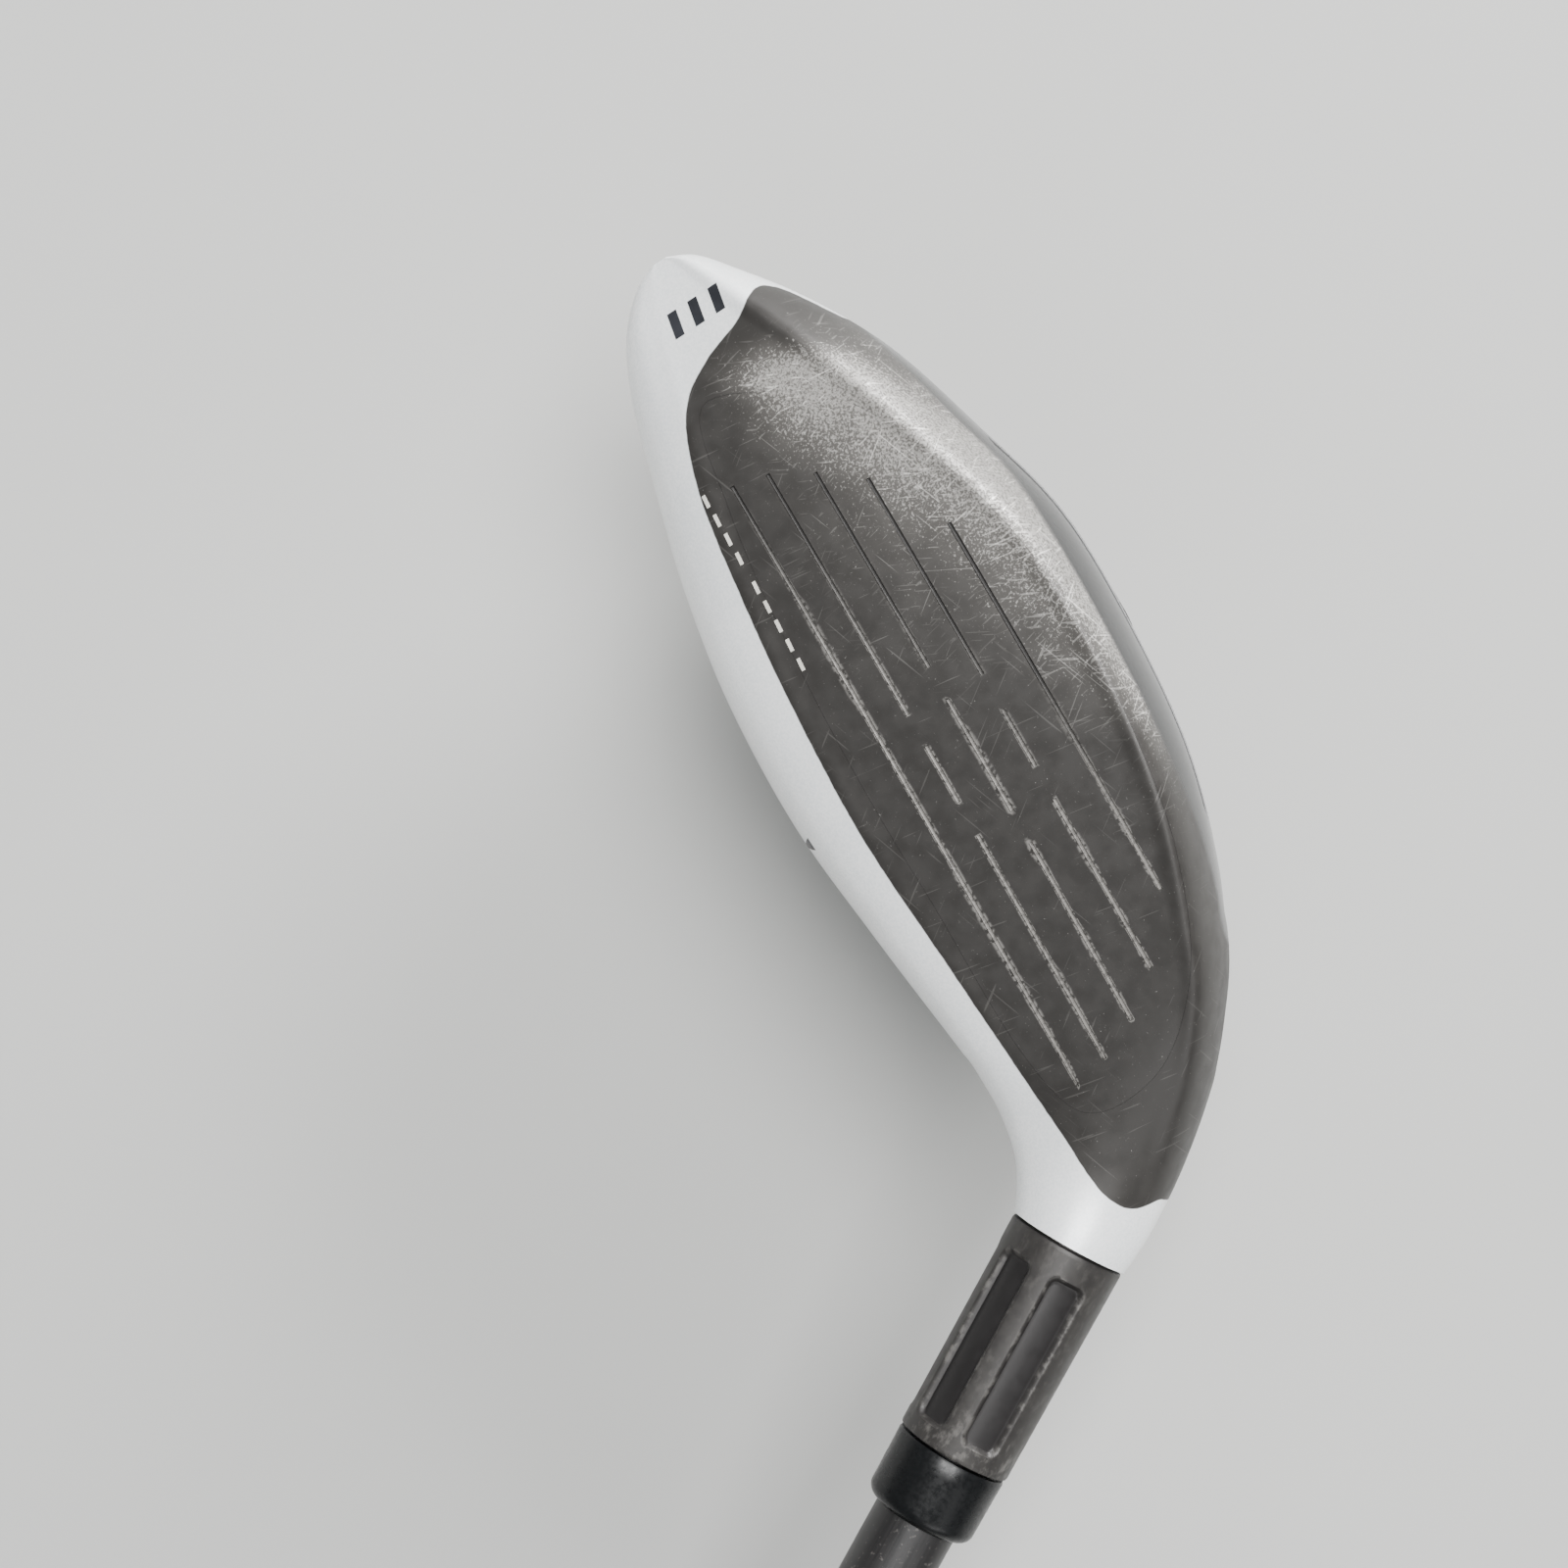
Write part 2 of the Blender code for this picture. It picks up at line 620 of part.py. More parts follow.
def score_cutter(name, height, ends, tool):
    """A round bar that lies in the face's curve, so the score line is half round."""
    steps, sides = 8, 8
    verts = []
    for i in range(steps + 1):
        x = ends[0] + (ends[1] - ends[0]) * i / steps
        for k in range(sides):
            turn = 2 * math.pi * k / sides
            rise = height + SCORE_RADIUS * math.sin(turn)
            verts.append((x, face_depth(x, height) + SCORE_RADIUS * math.cos(turn), rise))
    faces = [tuple(range(sides)), tuple(steps * sides + k for k in reversed(range(sides)))]
    for i in range(steps):
        for k in range(sides):
            a, b = i * sides + k, i * sides + (k + 1) % sides
            faces.append((a, b, b + sides, a + sides))
    return mesh_object(name, verts, faces, tool)


def track_parent(rings, head, tool):
    return frame_empty("weight_track", track_frame(rings), head["parent"], head["collection"])


def build_weight(parts, cutters, paint):
    track = bpy.data.objects["weight_track"]
    place = {"collection": parts, "parent": track}
    tool = {"collection": cutters, "parent": track, "cutter": True}
    half = math.degrees(WEIGHT_LENGTH / 2 / TRACK_RADIUS)
    floor = TRACK_RADIUS - RECESS_DEPTH + GAP
    weight = arc_block(
        "sliding_weight", floor, TRACK_RADIUS - 0.2, RECESS_WIDTH - 2 * GAP, half,
        {**place, "material": paint["steel"]}, 6,
    )
    key = arc_block(
        "weight_key", floor - LIP_THICK, floor + 0.5, LIP_SLOT_WIDTH - 2 * GAP, half * 0.6, tool, 4
    )
    boolean(weight, key, "UNION")
    boolean(weight, cylinder("weight_hole", SCREW_RADIUS + 0.25, -TRACK_RADIUS - 3, -80, tool, 24))
    head_seat = TRACK_RADIUS - 0.2 - SCREW_HEAD_HEIGHT
    boolean(weight, cylinder("screw_pocket", SCREW_HEAD_RADIUS + GAP, -TRACK_RADIUS - 3, -head_seat, tool, 28))

    nut_top = TRACK_RADIUS - RECESS_DEPTH - LIP_THICK - GAP
    nut = arc_block(
        "weight_nut", nut_top - NUT_THICK, nut_top, CHAMBER_WIDTH - 4 * GAP,
        math.degrees(NUT_LENGTH / 2 / TRACK_RADIUS), {**place, "material": paint["steel"]}, 4,
    )
    boolean(nut, cylinder("nut_hole", SCREW_RADIUS + RUN_GAP, -TRACK_RADIUS, -80, tool, 24))

    tip = nut_top - NUT_THICK - 0.2
    top = TRACK_RADIUS - 0.5
    under = head_seat + GAP
    turned(
        "weight_screw",
        [
            (0.0, -tip),
            (SCREW_RADIUS, -tip),
            (SCREW_RADIUS, -under),
            (SCREW_HEAD_RADIUS, -under),
            (SCREW_HEAD_RADIUS, -top),
            (SCREW_SOCKET_RADIUS, -top),
            (SCREW_SOCKET_RADIUS, -top + 1.4),
            (0.0, -top + 1.4),
        ],
        {**place, "material": paint["steel"]},
        24,
        -under,
    )


def seat_top():
    """Height of the web that the bolt pulls against, under the sleeve and the retainer."""
    return -SLEEVE_DEPTH - RETAINER_HEIGHT - 3 * GAP


def build_sleeve_and_bolt(on_axis, axis_tool, paint):
    shown_low = GAP
    shown_top = GAP + SLEEVE_SHOWN
    inner = SHAFT_TIP_RADIUS + RUN_GAP
    insert = HOSEL_BORE_RADIUS - RUN_GAP
    spline = SPLINE_BORE_RADIUS - RUN_GAP
    shoulder = -HOSEL_BORE_DEPTH + GAP
    bottom = -SLEEVE_DEPTH
    floor = bottom + SLEEVE_FLOOR
    thread = BOLT_RADIUS + RUN_GAP
    sleeve = turned(
        "loft_sleeve",
        [
            (SLEEVE_TOP_RADIUS, shown_top),
            (SLEEVE_SHOWN_RADIUS, shown_low + 0.3),
            (SLEEVE_SHOWN_RADIUS - 0.3, shown_low),
            (insert, shown_low),
            (insert, shoulder + SLEEVE_STEP),
            (insert - SLEEVE_STEP, shoulder),
            (spline, shoulder),
            (spline, bottom + SLEEVE_STEP),
            (spline - SLEEVE_STEP, bottom),
            (thread, bottom),
            (thread, floor),
            (inner, floor),
            (inner, shown_top),
        ],
        {**on_axis, "material": paint["sleeve"]},
        60,
    )
    for index in range(POCKET_COUNT):
        turn = math.radians(POCKET_FIRST_DEG + POCKET_STEP_DEG * index)
        outline = rounded_slot((0.0, 0.0), (POCKET_LENGTH, POCKET_WIDTH), 5)
        cutter = prism(
            f"sleeve_pocket_{index}", outline, SLEEVE_SHOWN_RADIUS - POCKET_DEPTH, SLEEVE_SHOWN_RADIUS + 2, axis_tool
        )
        out = Vector((math.sin(turn), math.cos(turn), 0.0))
        along = Vector((0.0, 0.0, 1.0))
        frame = Matrix((along, out.cross(along), out)).transposed().to_4x4()
        cutter.matrix_local = Matrix.Translation((0, 0, (shown_low + SLEEVE_SHOWN / 2 + 0.5) * MM)) @ frame
        boolean(sleeve, cutter)
    for index in range(SPLINE_COUNT):
        turn = 2 * math.pi * index / SPLINE_COUNT
        groove = bpy.data.meshes.new("spline_groove")
        shape = bmesh.new()
        bmesh.ops.create_cube(shape, size=1.0)
        shape.to_mesh(groove)
        shape.free()
        cutter = bpy.data.objects.new(f"spline_groove_{index}", groove)
        axis_tool["collection"].objects.link(cutter)
        cutter.parent = axis_tool["parent"]
        cutter.hide_render = True
        cutter.display_type = "WIRE"
        reach = spline - SPLINE_DEPTH + 1.0
        size = Matrix.Diagonal((2.0 * MM, 1.2 * MM, (SPLINE_HEIGHT + 2) * MM, 1.0))
        cutter.matrix_local = (
            Matrix.Rotation(turn, 4, "Z")
            @ Matrix.Translation((reach * MM, 0, (bottom + SPLINE_HEIGHT / 2 - 1) * MM))
            @ size
        )
        boolean(sleeve, cutter)

    ferrule_low = shown_top + GAP
    ferrule_top = ferrule_low + FERRULE_LENGTH
    round_off = [
        (
            FERRULE_RADIUS - FERRULE_ROUND * (1 - math.sin(math.radians(a))),
            ferrule_top - FERRULE_ROUND * (1 - math.cos(math.radians(a))),
        )
        for a in (0, 30, 60, 90)
    ]
    turned(
        "ferrule",
        [*round_off, (FERRULE_RADIUS + 0.1, ferrule_low), (inner, ferrule_low), (inner, ferrule_top)],
        {**on_axis, "material": paint["ferrule"]},
        48,
    )

    turned(
        "bolt_retainer",
        [
            (SPLINE_BORE_RADIUS - RUN_GAP, bottom - 2 * GAP),
            (SPLINE_BORE_RADIUS - RUN_GAP, bottom - 2 * GAP - RETAINER_HEIGHT),
            (thread, bottom - 2 * GAP - RETAINER_HEIGHT),
            (thread, bottom - 2 * GAP),
        ],
        {**on_axis, "material": paint["polymer"]},
        36,
    )

    seat_low = seat_top() - SEAT_THICK
    washer_top = seat_low - GAP
    washer_low = washer_top - WASHER_THICK
    turned(
        "bolt_washer",
        [
            (BOLT_HEAD_RADIUS - 0.4, washer_top),
            (BOLT_HEAD_RADIUS + 0.5, washer_top - 0.5),
            (BOLT_HEAD_RADIUS + 0.5, washer_low),
            (BOLT_RADIUS + RUN_GAP, washer_low),
            (BOLT_RADIUS + RUN_GAP, washer_top),
        ],
        {**on_axis, "material": paint["steel"]},
        36,
    )
    head_top = washer_low - RUN_GAP
    head_low = head_top - BOLT_HEAD_HEIGHT
    shank_top = bottom + BOLT_GRIP_IN_SLEEVE
    bolt = turned(
        "hosel_bolt",
        [
            (0.0, shank_top),
            (BOLT_RADIUS - 0.4, shank_top),
            (BOLT_RADIUS, shank_top - 0.4),
            (BOLT_RADIUS, head_top),
            (BOLT_HEAD_RADIUS, head_top),
            (BOLT_HEAD_RADIUS, head_low + 0.5),
            (BOLT_HEAD_RADIUS - 0.5, head_low),
            (0.0, head_low),
        ],
        {**on_axis, "material": paint["steel"]},
        32,
        head_top,
    )
    star = [
        (
            BOLT_SOCKET_RADIUS * (1.0 if k % 2 == 0 else 0.78) * math.cos(math.pi * k / 6),
            BOLT_SOCKET_RADIUS * (1.0 if k % 2 == 0 else 0.78) * math.sin(math.pi * k / 6),
        )
        for k in range(12)
    ]
    boolean(bolt, prism("bolt_socket", star, head_low - 1, head_low + BOLT_SOCKET_DEPTH, axis_tool))


def shaft_radius(height):
    """The shaft's outside radius at a height along its axis, in millimetres."""
    start = SHAFT_TIP_PARALLEL
    end = CLUB_LENGTH - HOSEL_TO_SOLE - GRIP_LENGTH * 0.5
    share = min(1.0, max(0.0, (height - start) / (end - start)))
    return SHAFT_TIP_RADIUS + (SHAFT_BUTT_RADIUS - SHAFT_TIP_RADIUS) * share


def build_shaft_and_grip(on_axis, axis_tool, paint, butt):
    tip = -SLEEVE_DEPTH + SLEEVE_FLOOR + GAP
    shaft_end = butt - GRIP_CAP_THICK - GAP
    mouth = butt - GRIP_LENGTH
    heights = [shaft_end, butt - GRIP_LENGTH * 0.5, mouth, 500.0, 300.0, SHAFT_TIP_PARALLEL, tip]
    outer = [(shaft_radius(z), z) for z in heights]
    inner = [(shaft_radius(z) - SHAFT_WALL, z) for z in reversed(heights)]
    turned("shaft", outer + inner, {**on_axis, "material": paint["graphite"]}, 40)

    bore = SHAFT_TIP_RADIUS - SHAFT_WALL - RUN_GAP
    turned(
        "shaft_tip_plug",
        [
            (0.0, tip + PLUG_LENGTH + 2),
            (bore - 0.5, tip + PLUG_LENGTH + 2),
            (bore, tip + PLUG_LENGTH + 1.5),
            (bore, tip + 2.5),
            (bore - 0.5, tip + 2),
            (0.0, tip + 2),
        ],
        {**on_axis, "material": paint["polymer"]},
        24,
    )

    tape_low = mouth + 6.0
    tape_heights = [shaft_end - 1.0, butt - GRIP_LENGTH * 0.5, tape_low]
    tape_out = [(shaft_radius(z) + RUN_GAP + TAPE_THICK, z) for z in tape_heights]
    tape_in = [(shaft_radius(z) + RUN_GAP, z) for z in reversed(tape_heights)]
    turned("grip_tape", tape_out + tape_in, {**on_axis, "material": paint["tape"]}, 40)

    grip_top = butt - GRIP_CAP_THICK - GAP
    bore_gap = 2 * RUN_GAP + TAPE_THICK
    taper = [
        (GRIP_BUTT_RADIUS - 1.5, grip_top),
        (GRIP_BUTT_RADIUS, grip_top - 6.0),
        (GRIP_BUTT_RADIUS - 0.3, grip_top - 14.0),
        (12.1, grip_top - 60.0),
        (11.3, grip_top - 130.0),
        (10.3, grip_top - 200.0),
        (shaft_radius(mouth) + bore_gap + GRIP_MOUTH_WALL, mouth + 6.0),
        (shaft_radius(mouth) + bore_gap + GRIP_MOUTH_WALL * 0.6, mouth),
    ]
    inside = [
        (shaft_radius(z) + bore_gap, z) for z in (mouth, butt - GRIP_LENGTH * 0.5, grip_top)
    ]
    turned("grip", taper + inside, {**on_axis, "material": paint["rubber"]}, 48)
    turned(
        "grip_cap",
        [
            (GRIP_BUTT_RADIUS - 3.2, butt),
            (GRIP_BUTT_RADIUS - 1.9, butt - 0.7),
            (GRIP_BUTT_RADIUS - 1.5, grip_top + GAP),
            (VENT_RADIUS, grip_top + GAP),
            (VENT_RADIUS, butt),
        ],
        {**on_axis, "material": paint["rubber"]},
        48,
    )


def settle(club):
    """Puts the middle of the whole club's box, at its lowest height, at the origin."""
    bpy.context.view_layer.update()
    graph = bpy.context.evaluated_depsgraph_get()
    low = [math.inf] * 3
    high = [-math.inf] * 3
    for obj in bpy.data.collections["hybrid_golf_club"].objects:
        if obj.type != "MESH":
            continue
        shape = obj.evaluated_get(graph)
        for vertex in shape.data.vertices:
            point = shape.matrix_world @ vertex.co
            for k in range(3):
                low[k] = min(low[k], point[k])
                high[k] = max(high[k], point[k])
    middle = Vector(((low[0] + high[0]) / 2, (low[1] + high[1]) / 2, low[2]))
    club.matrix_world = Matrix.Translation(-middle) @ club.matrix_world


build()
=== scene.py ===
import json
import math

import bpy
import numpy as np
from bpy.props import FloatProperty, FloatVectorProperty, IntProperty, PointerProperty
from mathutils import Matrix, Vector
from mathutils.bvhtree import BVHTree
from mathutils.kdtree import KDTree


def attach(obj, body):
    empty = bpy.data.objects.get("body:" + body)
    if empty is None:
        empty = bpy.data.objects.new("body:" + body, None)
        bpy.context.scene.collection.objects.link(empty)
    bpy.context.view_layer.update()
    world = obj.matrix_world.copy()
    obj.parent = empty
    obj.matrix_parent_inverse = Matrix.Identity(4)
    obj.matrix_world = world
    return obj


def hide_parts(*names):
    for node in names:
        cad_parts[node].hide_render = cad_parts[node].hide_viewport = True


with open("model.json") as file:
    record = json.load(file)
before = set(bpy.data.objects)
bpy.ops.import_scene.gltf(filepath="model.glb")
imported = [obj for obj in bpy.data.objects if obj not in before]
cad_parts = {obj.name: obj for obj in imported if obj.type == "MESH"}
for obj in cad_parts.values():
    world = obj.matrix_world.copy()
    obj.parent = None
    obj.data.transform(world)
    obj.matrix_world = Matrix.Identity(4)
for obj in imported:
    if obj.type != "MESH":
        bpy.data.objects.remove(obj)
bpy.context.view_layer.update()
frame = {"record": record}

bl_info = {
    "name": "Hybrid golf club",
    "version": (1, 0, 0),
    "blender": (4, 5, 0),
    "location": "3D View > Sidebar > Golf club",
    "description": "Builds the visible surfaces of a left-handed adjustable hybrid club",
    "category": "Object",
}

MM = 0.001
JOINTS = {joint["name"]: joint for joint in frame["record"]["behaviour"]["joints"]}
MOUNTS = {mount["name"]: mount for mount in frame["record"]["mounts"]}

# The club's own frame, in millimetres: X heel to toe, the face looks along -Y, Z up.
LIE = math.radians(59.0)
LOFT = math.radians(19.0)
FACE_RADIUS = 280.0
CLUB_LENGTH = 1030.0
HOSEL_TO_SOLE = 47.0
BUTT = CLUB_LENGTH - HOSEL_TO_SOLE
BUTT_MOUNT_RADIUS = 6.0
HOSEL_END = Vector((-53.6, 12.0, 14.2))
HOSEL_RADIUS = 6.8
UP_SHAFT = Vector((-math.cos(LIE), 0.0, math.sin(LIE)))
ACROSS = Vector((math.sin(LIE), 0.0, math.cos(LIE)))
FAN_REACH = 27.0
FAN_ARC = 30.0
FAN_POINT = HOSEL_END + ACROSS * FAN_REACH

# Rows from the hosel to the toe: crown, face top, face bottom, sole, rear height, rear depth.
HEAD_LINES = (
    ("fan", 59.0, 7.9, 4.5, -2.0, -5.7, 1.1, 18.8),
    ("fan", 44.0, 9.7, 5.4, -3.2, -7.4, 0.6, 21.5),
    ("fan", 30.0, 11.6, 7.0, -5.4, -10.0, -1.2, 27.0),
    ("fan", 15.0, 13.1, 8.6, -8.6, -14.2, -4.6, 35.0),
    ("x", -30.5, 13.8, 10.0, -12.2, -18.9, -8.0, 44.0),
    ("x", -15.0, 15.7, 11.3, -16.8, -23.9, -11.5, 53.0),
    ("x", 0.0, 17.2, 11.8, -18.4, -25.5, -13.0, 57.5),
    ("x", 15.0, 16.8, 11.2, -17.8, -25.4, -13.0, 57.0),
    ("x", 28.0, 14.9, 9.6, -14.4, -22.0, -11.5, 52.0),
    ("x", 40.0, 12.0, 7.2, -10.4, -18.0, -9.0, 43.0),
    ("x", 49.0, 9.5, 5.0, -6.8, -12.6, -5.2, 32.5),
    ("x", 55.0, 6.6, 3.2, -4.2, -7.6, -2.4, 23.5),
    ("x", 58.4, 3.2, 1.6, -2.4, -4.2, -0.8, 16.5),
    ("x", 59.4, 1.0, 0.5, -1.0, -1.8, -0.4, 13.0),
)
HEAD_TURN = (225, 211, 182, 152, 138, 115, 90, 50, 15, -15, -50, -90, -113)
FACE_EDGE = 2.2
SKIRT = 0.42

# Edge of the welded face, and the edge where the silver paint meets the dark coating.
FACE_SEAM = (
    (-41.0, 7.6), (-12.0, 9.6), (14.0, 9.3), (33.0, 7.6), (43.5, 5.0), (41.3, -2.0), (36.5, -8.6),
    (28.0, -13.8), (15.0, -18.0), (3.0, -19.0), (-10.0, -18.2), (-22.0, -15.6), (-34.0, -10.0), (-41.5, -1.0),
)
PAINT_EDGE = (
    (44.6, -14.6), (51.6, -8.4), (49.3, -3.9), (47.5, 0.8), (44.6, 4.9), (37.3, 8.1), (22.6, 10.3),
    (7.9, 11.5), (-4.9, 11.8), (-20.0, 10.8), (-41.0, 9.3), (-50.2, 8.5), (-52.9, 6.8), (-53.9, 3.6),
)
PAINT_BELOW = ((-62.0, -4.0), (-64.0, -60.0), (41.0, -60.0))
FRONT_BAND = 7.5  # the paint edge counts on this much of the head behind the face

SCORE_RADIUS = 0.26
SEAM_GAP = 0.025
FACE_REACH = 5.9  # how far back the welded face goes
SCORE_SUNK = 0.06  # the lines' round bars sit this far behind the face
SCORE_LINES = (
    (5.1, ((-38.8, 34.6),)),
    (1.3, ((-37.2, -10.1), (-6.1, 0.7), (4.4, 33.7))),
    (-3.0, ((-34.9, -13.4), (-9.6, 3.8), (7.6, 31.2))),
    (-7.3, ((-30.9, -10.6), (-6.7, 0.0), (4.2, 27.8))),
    (-12.1, ((-24.2, 19.5),)),
)

# Hosel, sleeve, ferrule and shaft, measured up the shaft's axis from the hosel's end.
HOSEL_BORE_RADIUS = 5.65
HOSEL_BORE_DEPTH = 10.5
SPLINE_BORE_RADIUS = 4.8
SLEEVE_DEPTH = 17.3
SEAT_TOP = -19.4
SEAT_LOW = -21.4
PORT_RADIUS = 5.2
GAP = 0.3
RUN_GAP = 0.15
SLEEVE_TOP = 25.8
SLEEVE_RADIUS = 6.6
SLEEVE_TOP_RADIUS = 6.45
POCKET_TURNS = tuple(192.0 - 60.0 * k for k in range(5))
POCKET_MIDDLE = 13.6
POCKET_HALF = (10.0, 2.1)
POCKET_ROUND = 0.9
FERRULE_TOP = 34.1
SHAFT_TIP_RADIUS = 4.7
SHAFT_BUTT_RADIUS = 7.6
SHAFT_PARALLEL = 100.0  # the shaft starts to widen past this height
SHAFT_WALL = 1.3
BOND_RADIUS = 4.85  # bore round the shaft's tip
GRIP_MOUTH = BUTT - 267.0
GRIP_MIDDLE = BUTT - 133.5
GRIP_TOP = BUTT - 3.5
CAP_THICK = 3.2

# Hosel bolt.
BOLT_TIP = -9.3
BOLT_RADIUS = 2.5
BOLT_HEAD_RADIUS = 4.2
BOLT_HEAD_HEIGHT = 3.4
BOLT_PITCH = 0.8
WASHER_THICK = 1.2

# Weight track: an arc about the weight's joint.
TRACK_RADIUS = 100.0
TRACK_HALF_DEG = 13.0
RECESS_WIDTH = 13.0
RECESS_DEPTH = 4.4
LIP_THICK = 2.0
LIP_SLOT_WIDTH = 7.4
CHAMBER_WIDTH = 12.0
CHAMBER_DEPTH = 4.4
WEIGHT_HALF_DEG = 4.87
WEIGHT_TOP = TRACK_RADIUS - 0.2
NUT_THICK = 2.4
NUT_HALF_DEG = 3.44
SCREW_RADIUS = 2.0
SCREW_HEAD_RADIUS = 3.4
SCREW_HEAD_HEIGHT = 2.2
SCREW_SOCKET_RADIUS = 1.7

# Slot and pad in the sole.
SLOT_CENTRE, SLOT_SIZE = (3.0, 8.0), (58.0, 3.6)
PAD_CENTRE, PAD_SIZE, PAD_THICK = (6.0, 19.0), (12.0, 5.0), 1.1
SOLE_CUT_LOW = -40.0  # below the whole head


def srgb(code):
    """A hex sRGB colour as linear numbers."""
    parts = [int(code[i:i + 2], 16) / 255 for i in (1, 3, 5)]
    return tuple(c / 12.92 if c <= 0.04045 else ((c + 0.055) / 1.055) ** 2.4 for c in parts)


def club_matrix():
    """Club millimetres to the row's metres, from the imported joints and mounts."""
    up_shaft = Vector(JOINTS["sleeve_pull"]["axis"])
    up = -Vector(MOUNTS["sole_rest"]["axis"])
    toe = (up * math.sin(LIE) - up_shaft) / math.cos(LIE)
    turn = Matrix((toe, up.cross(toe), up)).transposed()
    butt = HOSEL_END + UP_SHAFT * BUTT + ACROSS * BUTT_MOUNT_RADIUS
    origin = Vector(MOUNTS["butt_end"]["pos_m"]) - turn @ (butt * MM)
    return Matrix.Translation(origin) @ turn.to_4x4() @ Matrix.Scale(MM, 4)


CLUB = club_matrix()
AXIS = CLUB @ Matrix.Translation(HOSEL_END) @ Matrix((ACROSS, (0, 1, 0), UP_SHAFT)).transposed().to_4x4()


def track_matrix():
    side = Vector(JOINTS["weight_slide"]["axis"])
    inward = Vector(JOINTS["weight_nut_travel"]["axis"])
    turn = Matrix((side.cross(inward), side, inward)).transposed().to_4x4()
    return Matrix.Translation(JOINTS["weight_slide"]["pos_m"]) @ turn @ Matrix.Scale(MM, 4)


TRACK = track_matrix()


# ---------------------------------------------------------------- shapes


def curve_through(points, steps, closed):
    """Centripetal Catmull-Rom curve through tuples of numbers."""
    count = len(points)
    found = []
    for i in range(count if closed else count - 1):
        if closed:
            before, start, end, after = (points[(i + k) % count] for k in (-1, 0, 1, 2))
        else:
            start, end = points[i], points[i + 1]
            before = points[i - 1] if i else [2 * a - b for a, b in zip(start, end)]
            after = points[i + 2] if i + 2 < count else [2 * b - a for a, b in zip(start, end)]
        pairs = ((before, start), (start, end), (end, after))
        first, span, last = (math.sqrt(math.dist(*pair)) for pair in pairs)
        for k in range(steps):
            t = k / steps
            point = []
            for a, b, c, d in zip(before, start, end, after):
                leave = ((b - a) / first - (c - a) / (first + span) + (c - b) / span) * span
                arrive = ((c - b) / span - (d - b) / (span + last) + (d - c) / last) * span
                point.append(
                    (2 * t**3 - 3 * t * t + 1) * b
                    + (t**3 - 2 * t * t + t) * leave
                    + (3 * t * t - 2 * t**3) * c
                    + (t**3 - t * t) * arrive
                )
            found.append(tuple(point))
    if not closed:
        found.append(tuple(points[-1]))
    return found


def offset_outline(outline, distance):
    count = len(outline)
    area = sum(
        outline[i][0] * outline[(i + 1) % count][1] - outline[(i + 1) % count][0] * outline[i][1]
        for i in range(count)
    )
    side = math.copysign(distance, area)
    moved = []
    for i, (x, y) in enumerate(outline):
        ax, ay = outline[i - 1]
        bx, by = outline[(i + 1) % count]
        length = math.hypot(bx - ax, by - ay)
        moved.append((x - side * (by - ay) / length, y + side * (bx - ax) / length))
    return moved


def face_depth(x, height):
    return math.tan(LOFT) * height + (x * x + height * height) / (2 * FACE_RADIUS)


def head_rows(steps):
    rows = []
    for kind, place, *lines in HEAD_LINES:
        along = FAN_POINT.x - FAN_ARC * math.radians(place) if kind == "fan" else place
        rows.append((along, *lines))
    filled = curve_through(rows, steps, closed=False)
    return [(*row, max(0.0, (FAN_POINT.x - row[0]) / FAN_ARC)) for row in filled]


def head_section(row, steps):
    along, crown, face_top, face_low, sole, rear, depth, fan = row
    front = face_depth(along, (face_top + face_low) / 2)
    deep = depth - front
    skirt = SKIRT * min(9.0, (crown - sole) / 2)
    edge = min(FACE_EDGE, (face_top - face_low) / 4)
    on_face = (face_low, face_low + edge, (face_low + face_top) / 2, face_top - edge, face_top)
    keys = [(face_depth(along, height), height) for height in on_face]
    keys += [
        (front + 0.14 * deep, face_top + 0.70 * (crown - face_top)),
        (front + 0.33 * deep, crown),
        (front + 0.73 * deep, crown - 0.36 * (crown - rear)),
        (depth - 0.02 * deep, rear + skirt / 2),
        (depth - 0.02 * deep, rear - skirt / 2),
        (front + 0.74 * deep, sole + 0.30 * (rear - sole)),
        (front + 0.38 * deep, sole),
        (front + 0.08 * deep, sole + 0.30 * (face_low - sole)),
    ]
    points = curve_through(keys, steps, closed=True)
    if not fan:
        return points
    share = min(1.0, fan / LIE)
    share = share * share * (3 - 2 * share)
    turns = list(HEAD_TURN) + [HEAD_TURN[0] - 360]
    round_front = (1 - share) * front + share * (HOSEL_END.y - HOSEL_RADIUS)
    middle = ((round_front + depth) / 2, (crown + sole) / 2)
    half = ((depth - round_front) / 2, (crown - sole) / 2)
    blended = []
    for i in range(len(HEAD_TURN)):
        for k in range(steps):
            angle = math.radians(turns[i] + (turns[i + 1] - turns[i]) * k / steps)
            target = (middle[0] + half[0] * math.cos(angle), middle[1] + half[1] * math.sin(angle))
            point = points[i * steps + k]
            blended.append(tuple((1 - share) * p + share * q for p, q in zip(point, target)))
    return blended


def head_rings(along_steps, round_steps):
    rings = []
    for row in head_rows(along_steps):
        fan = row[-1]
        ring = []
        for back, up in head_section(row, round_steps):
            if fan:
                reach = FAN_POINT.z - up
                x = FAN_POINT.x - reach * math.sin(fan)
                ring.append((x, back, FAN_POINT.z - reach * math.cos(fan)))
            else:
                ring.append((row[0], back, up))
        rings.append(ring)
    return rings


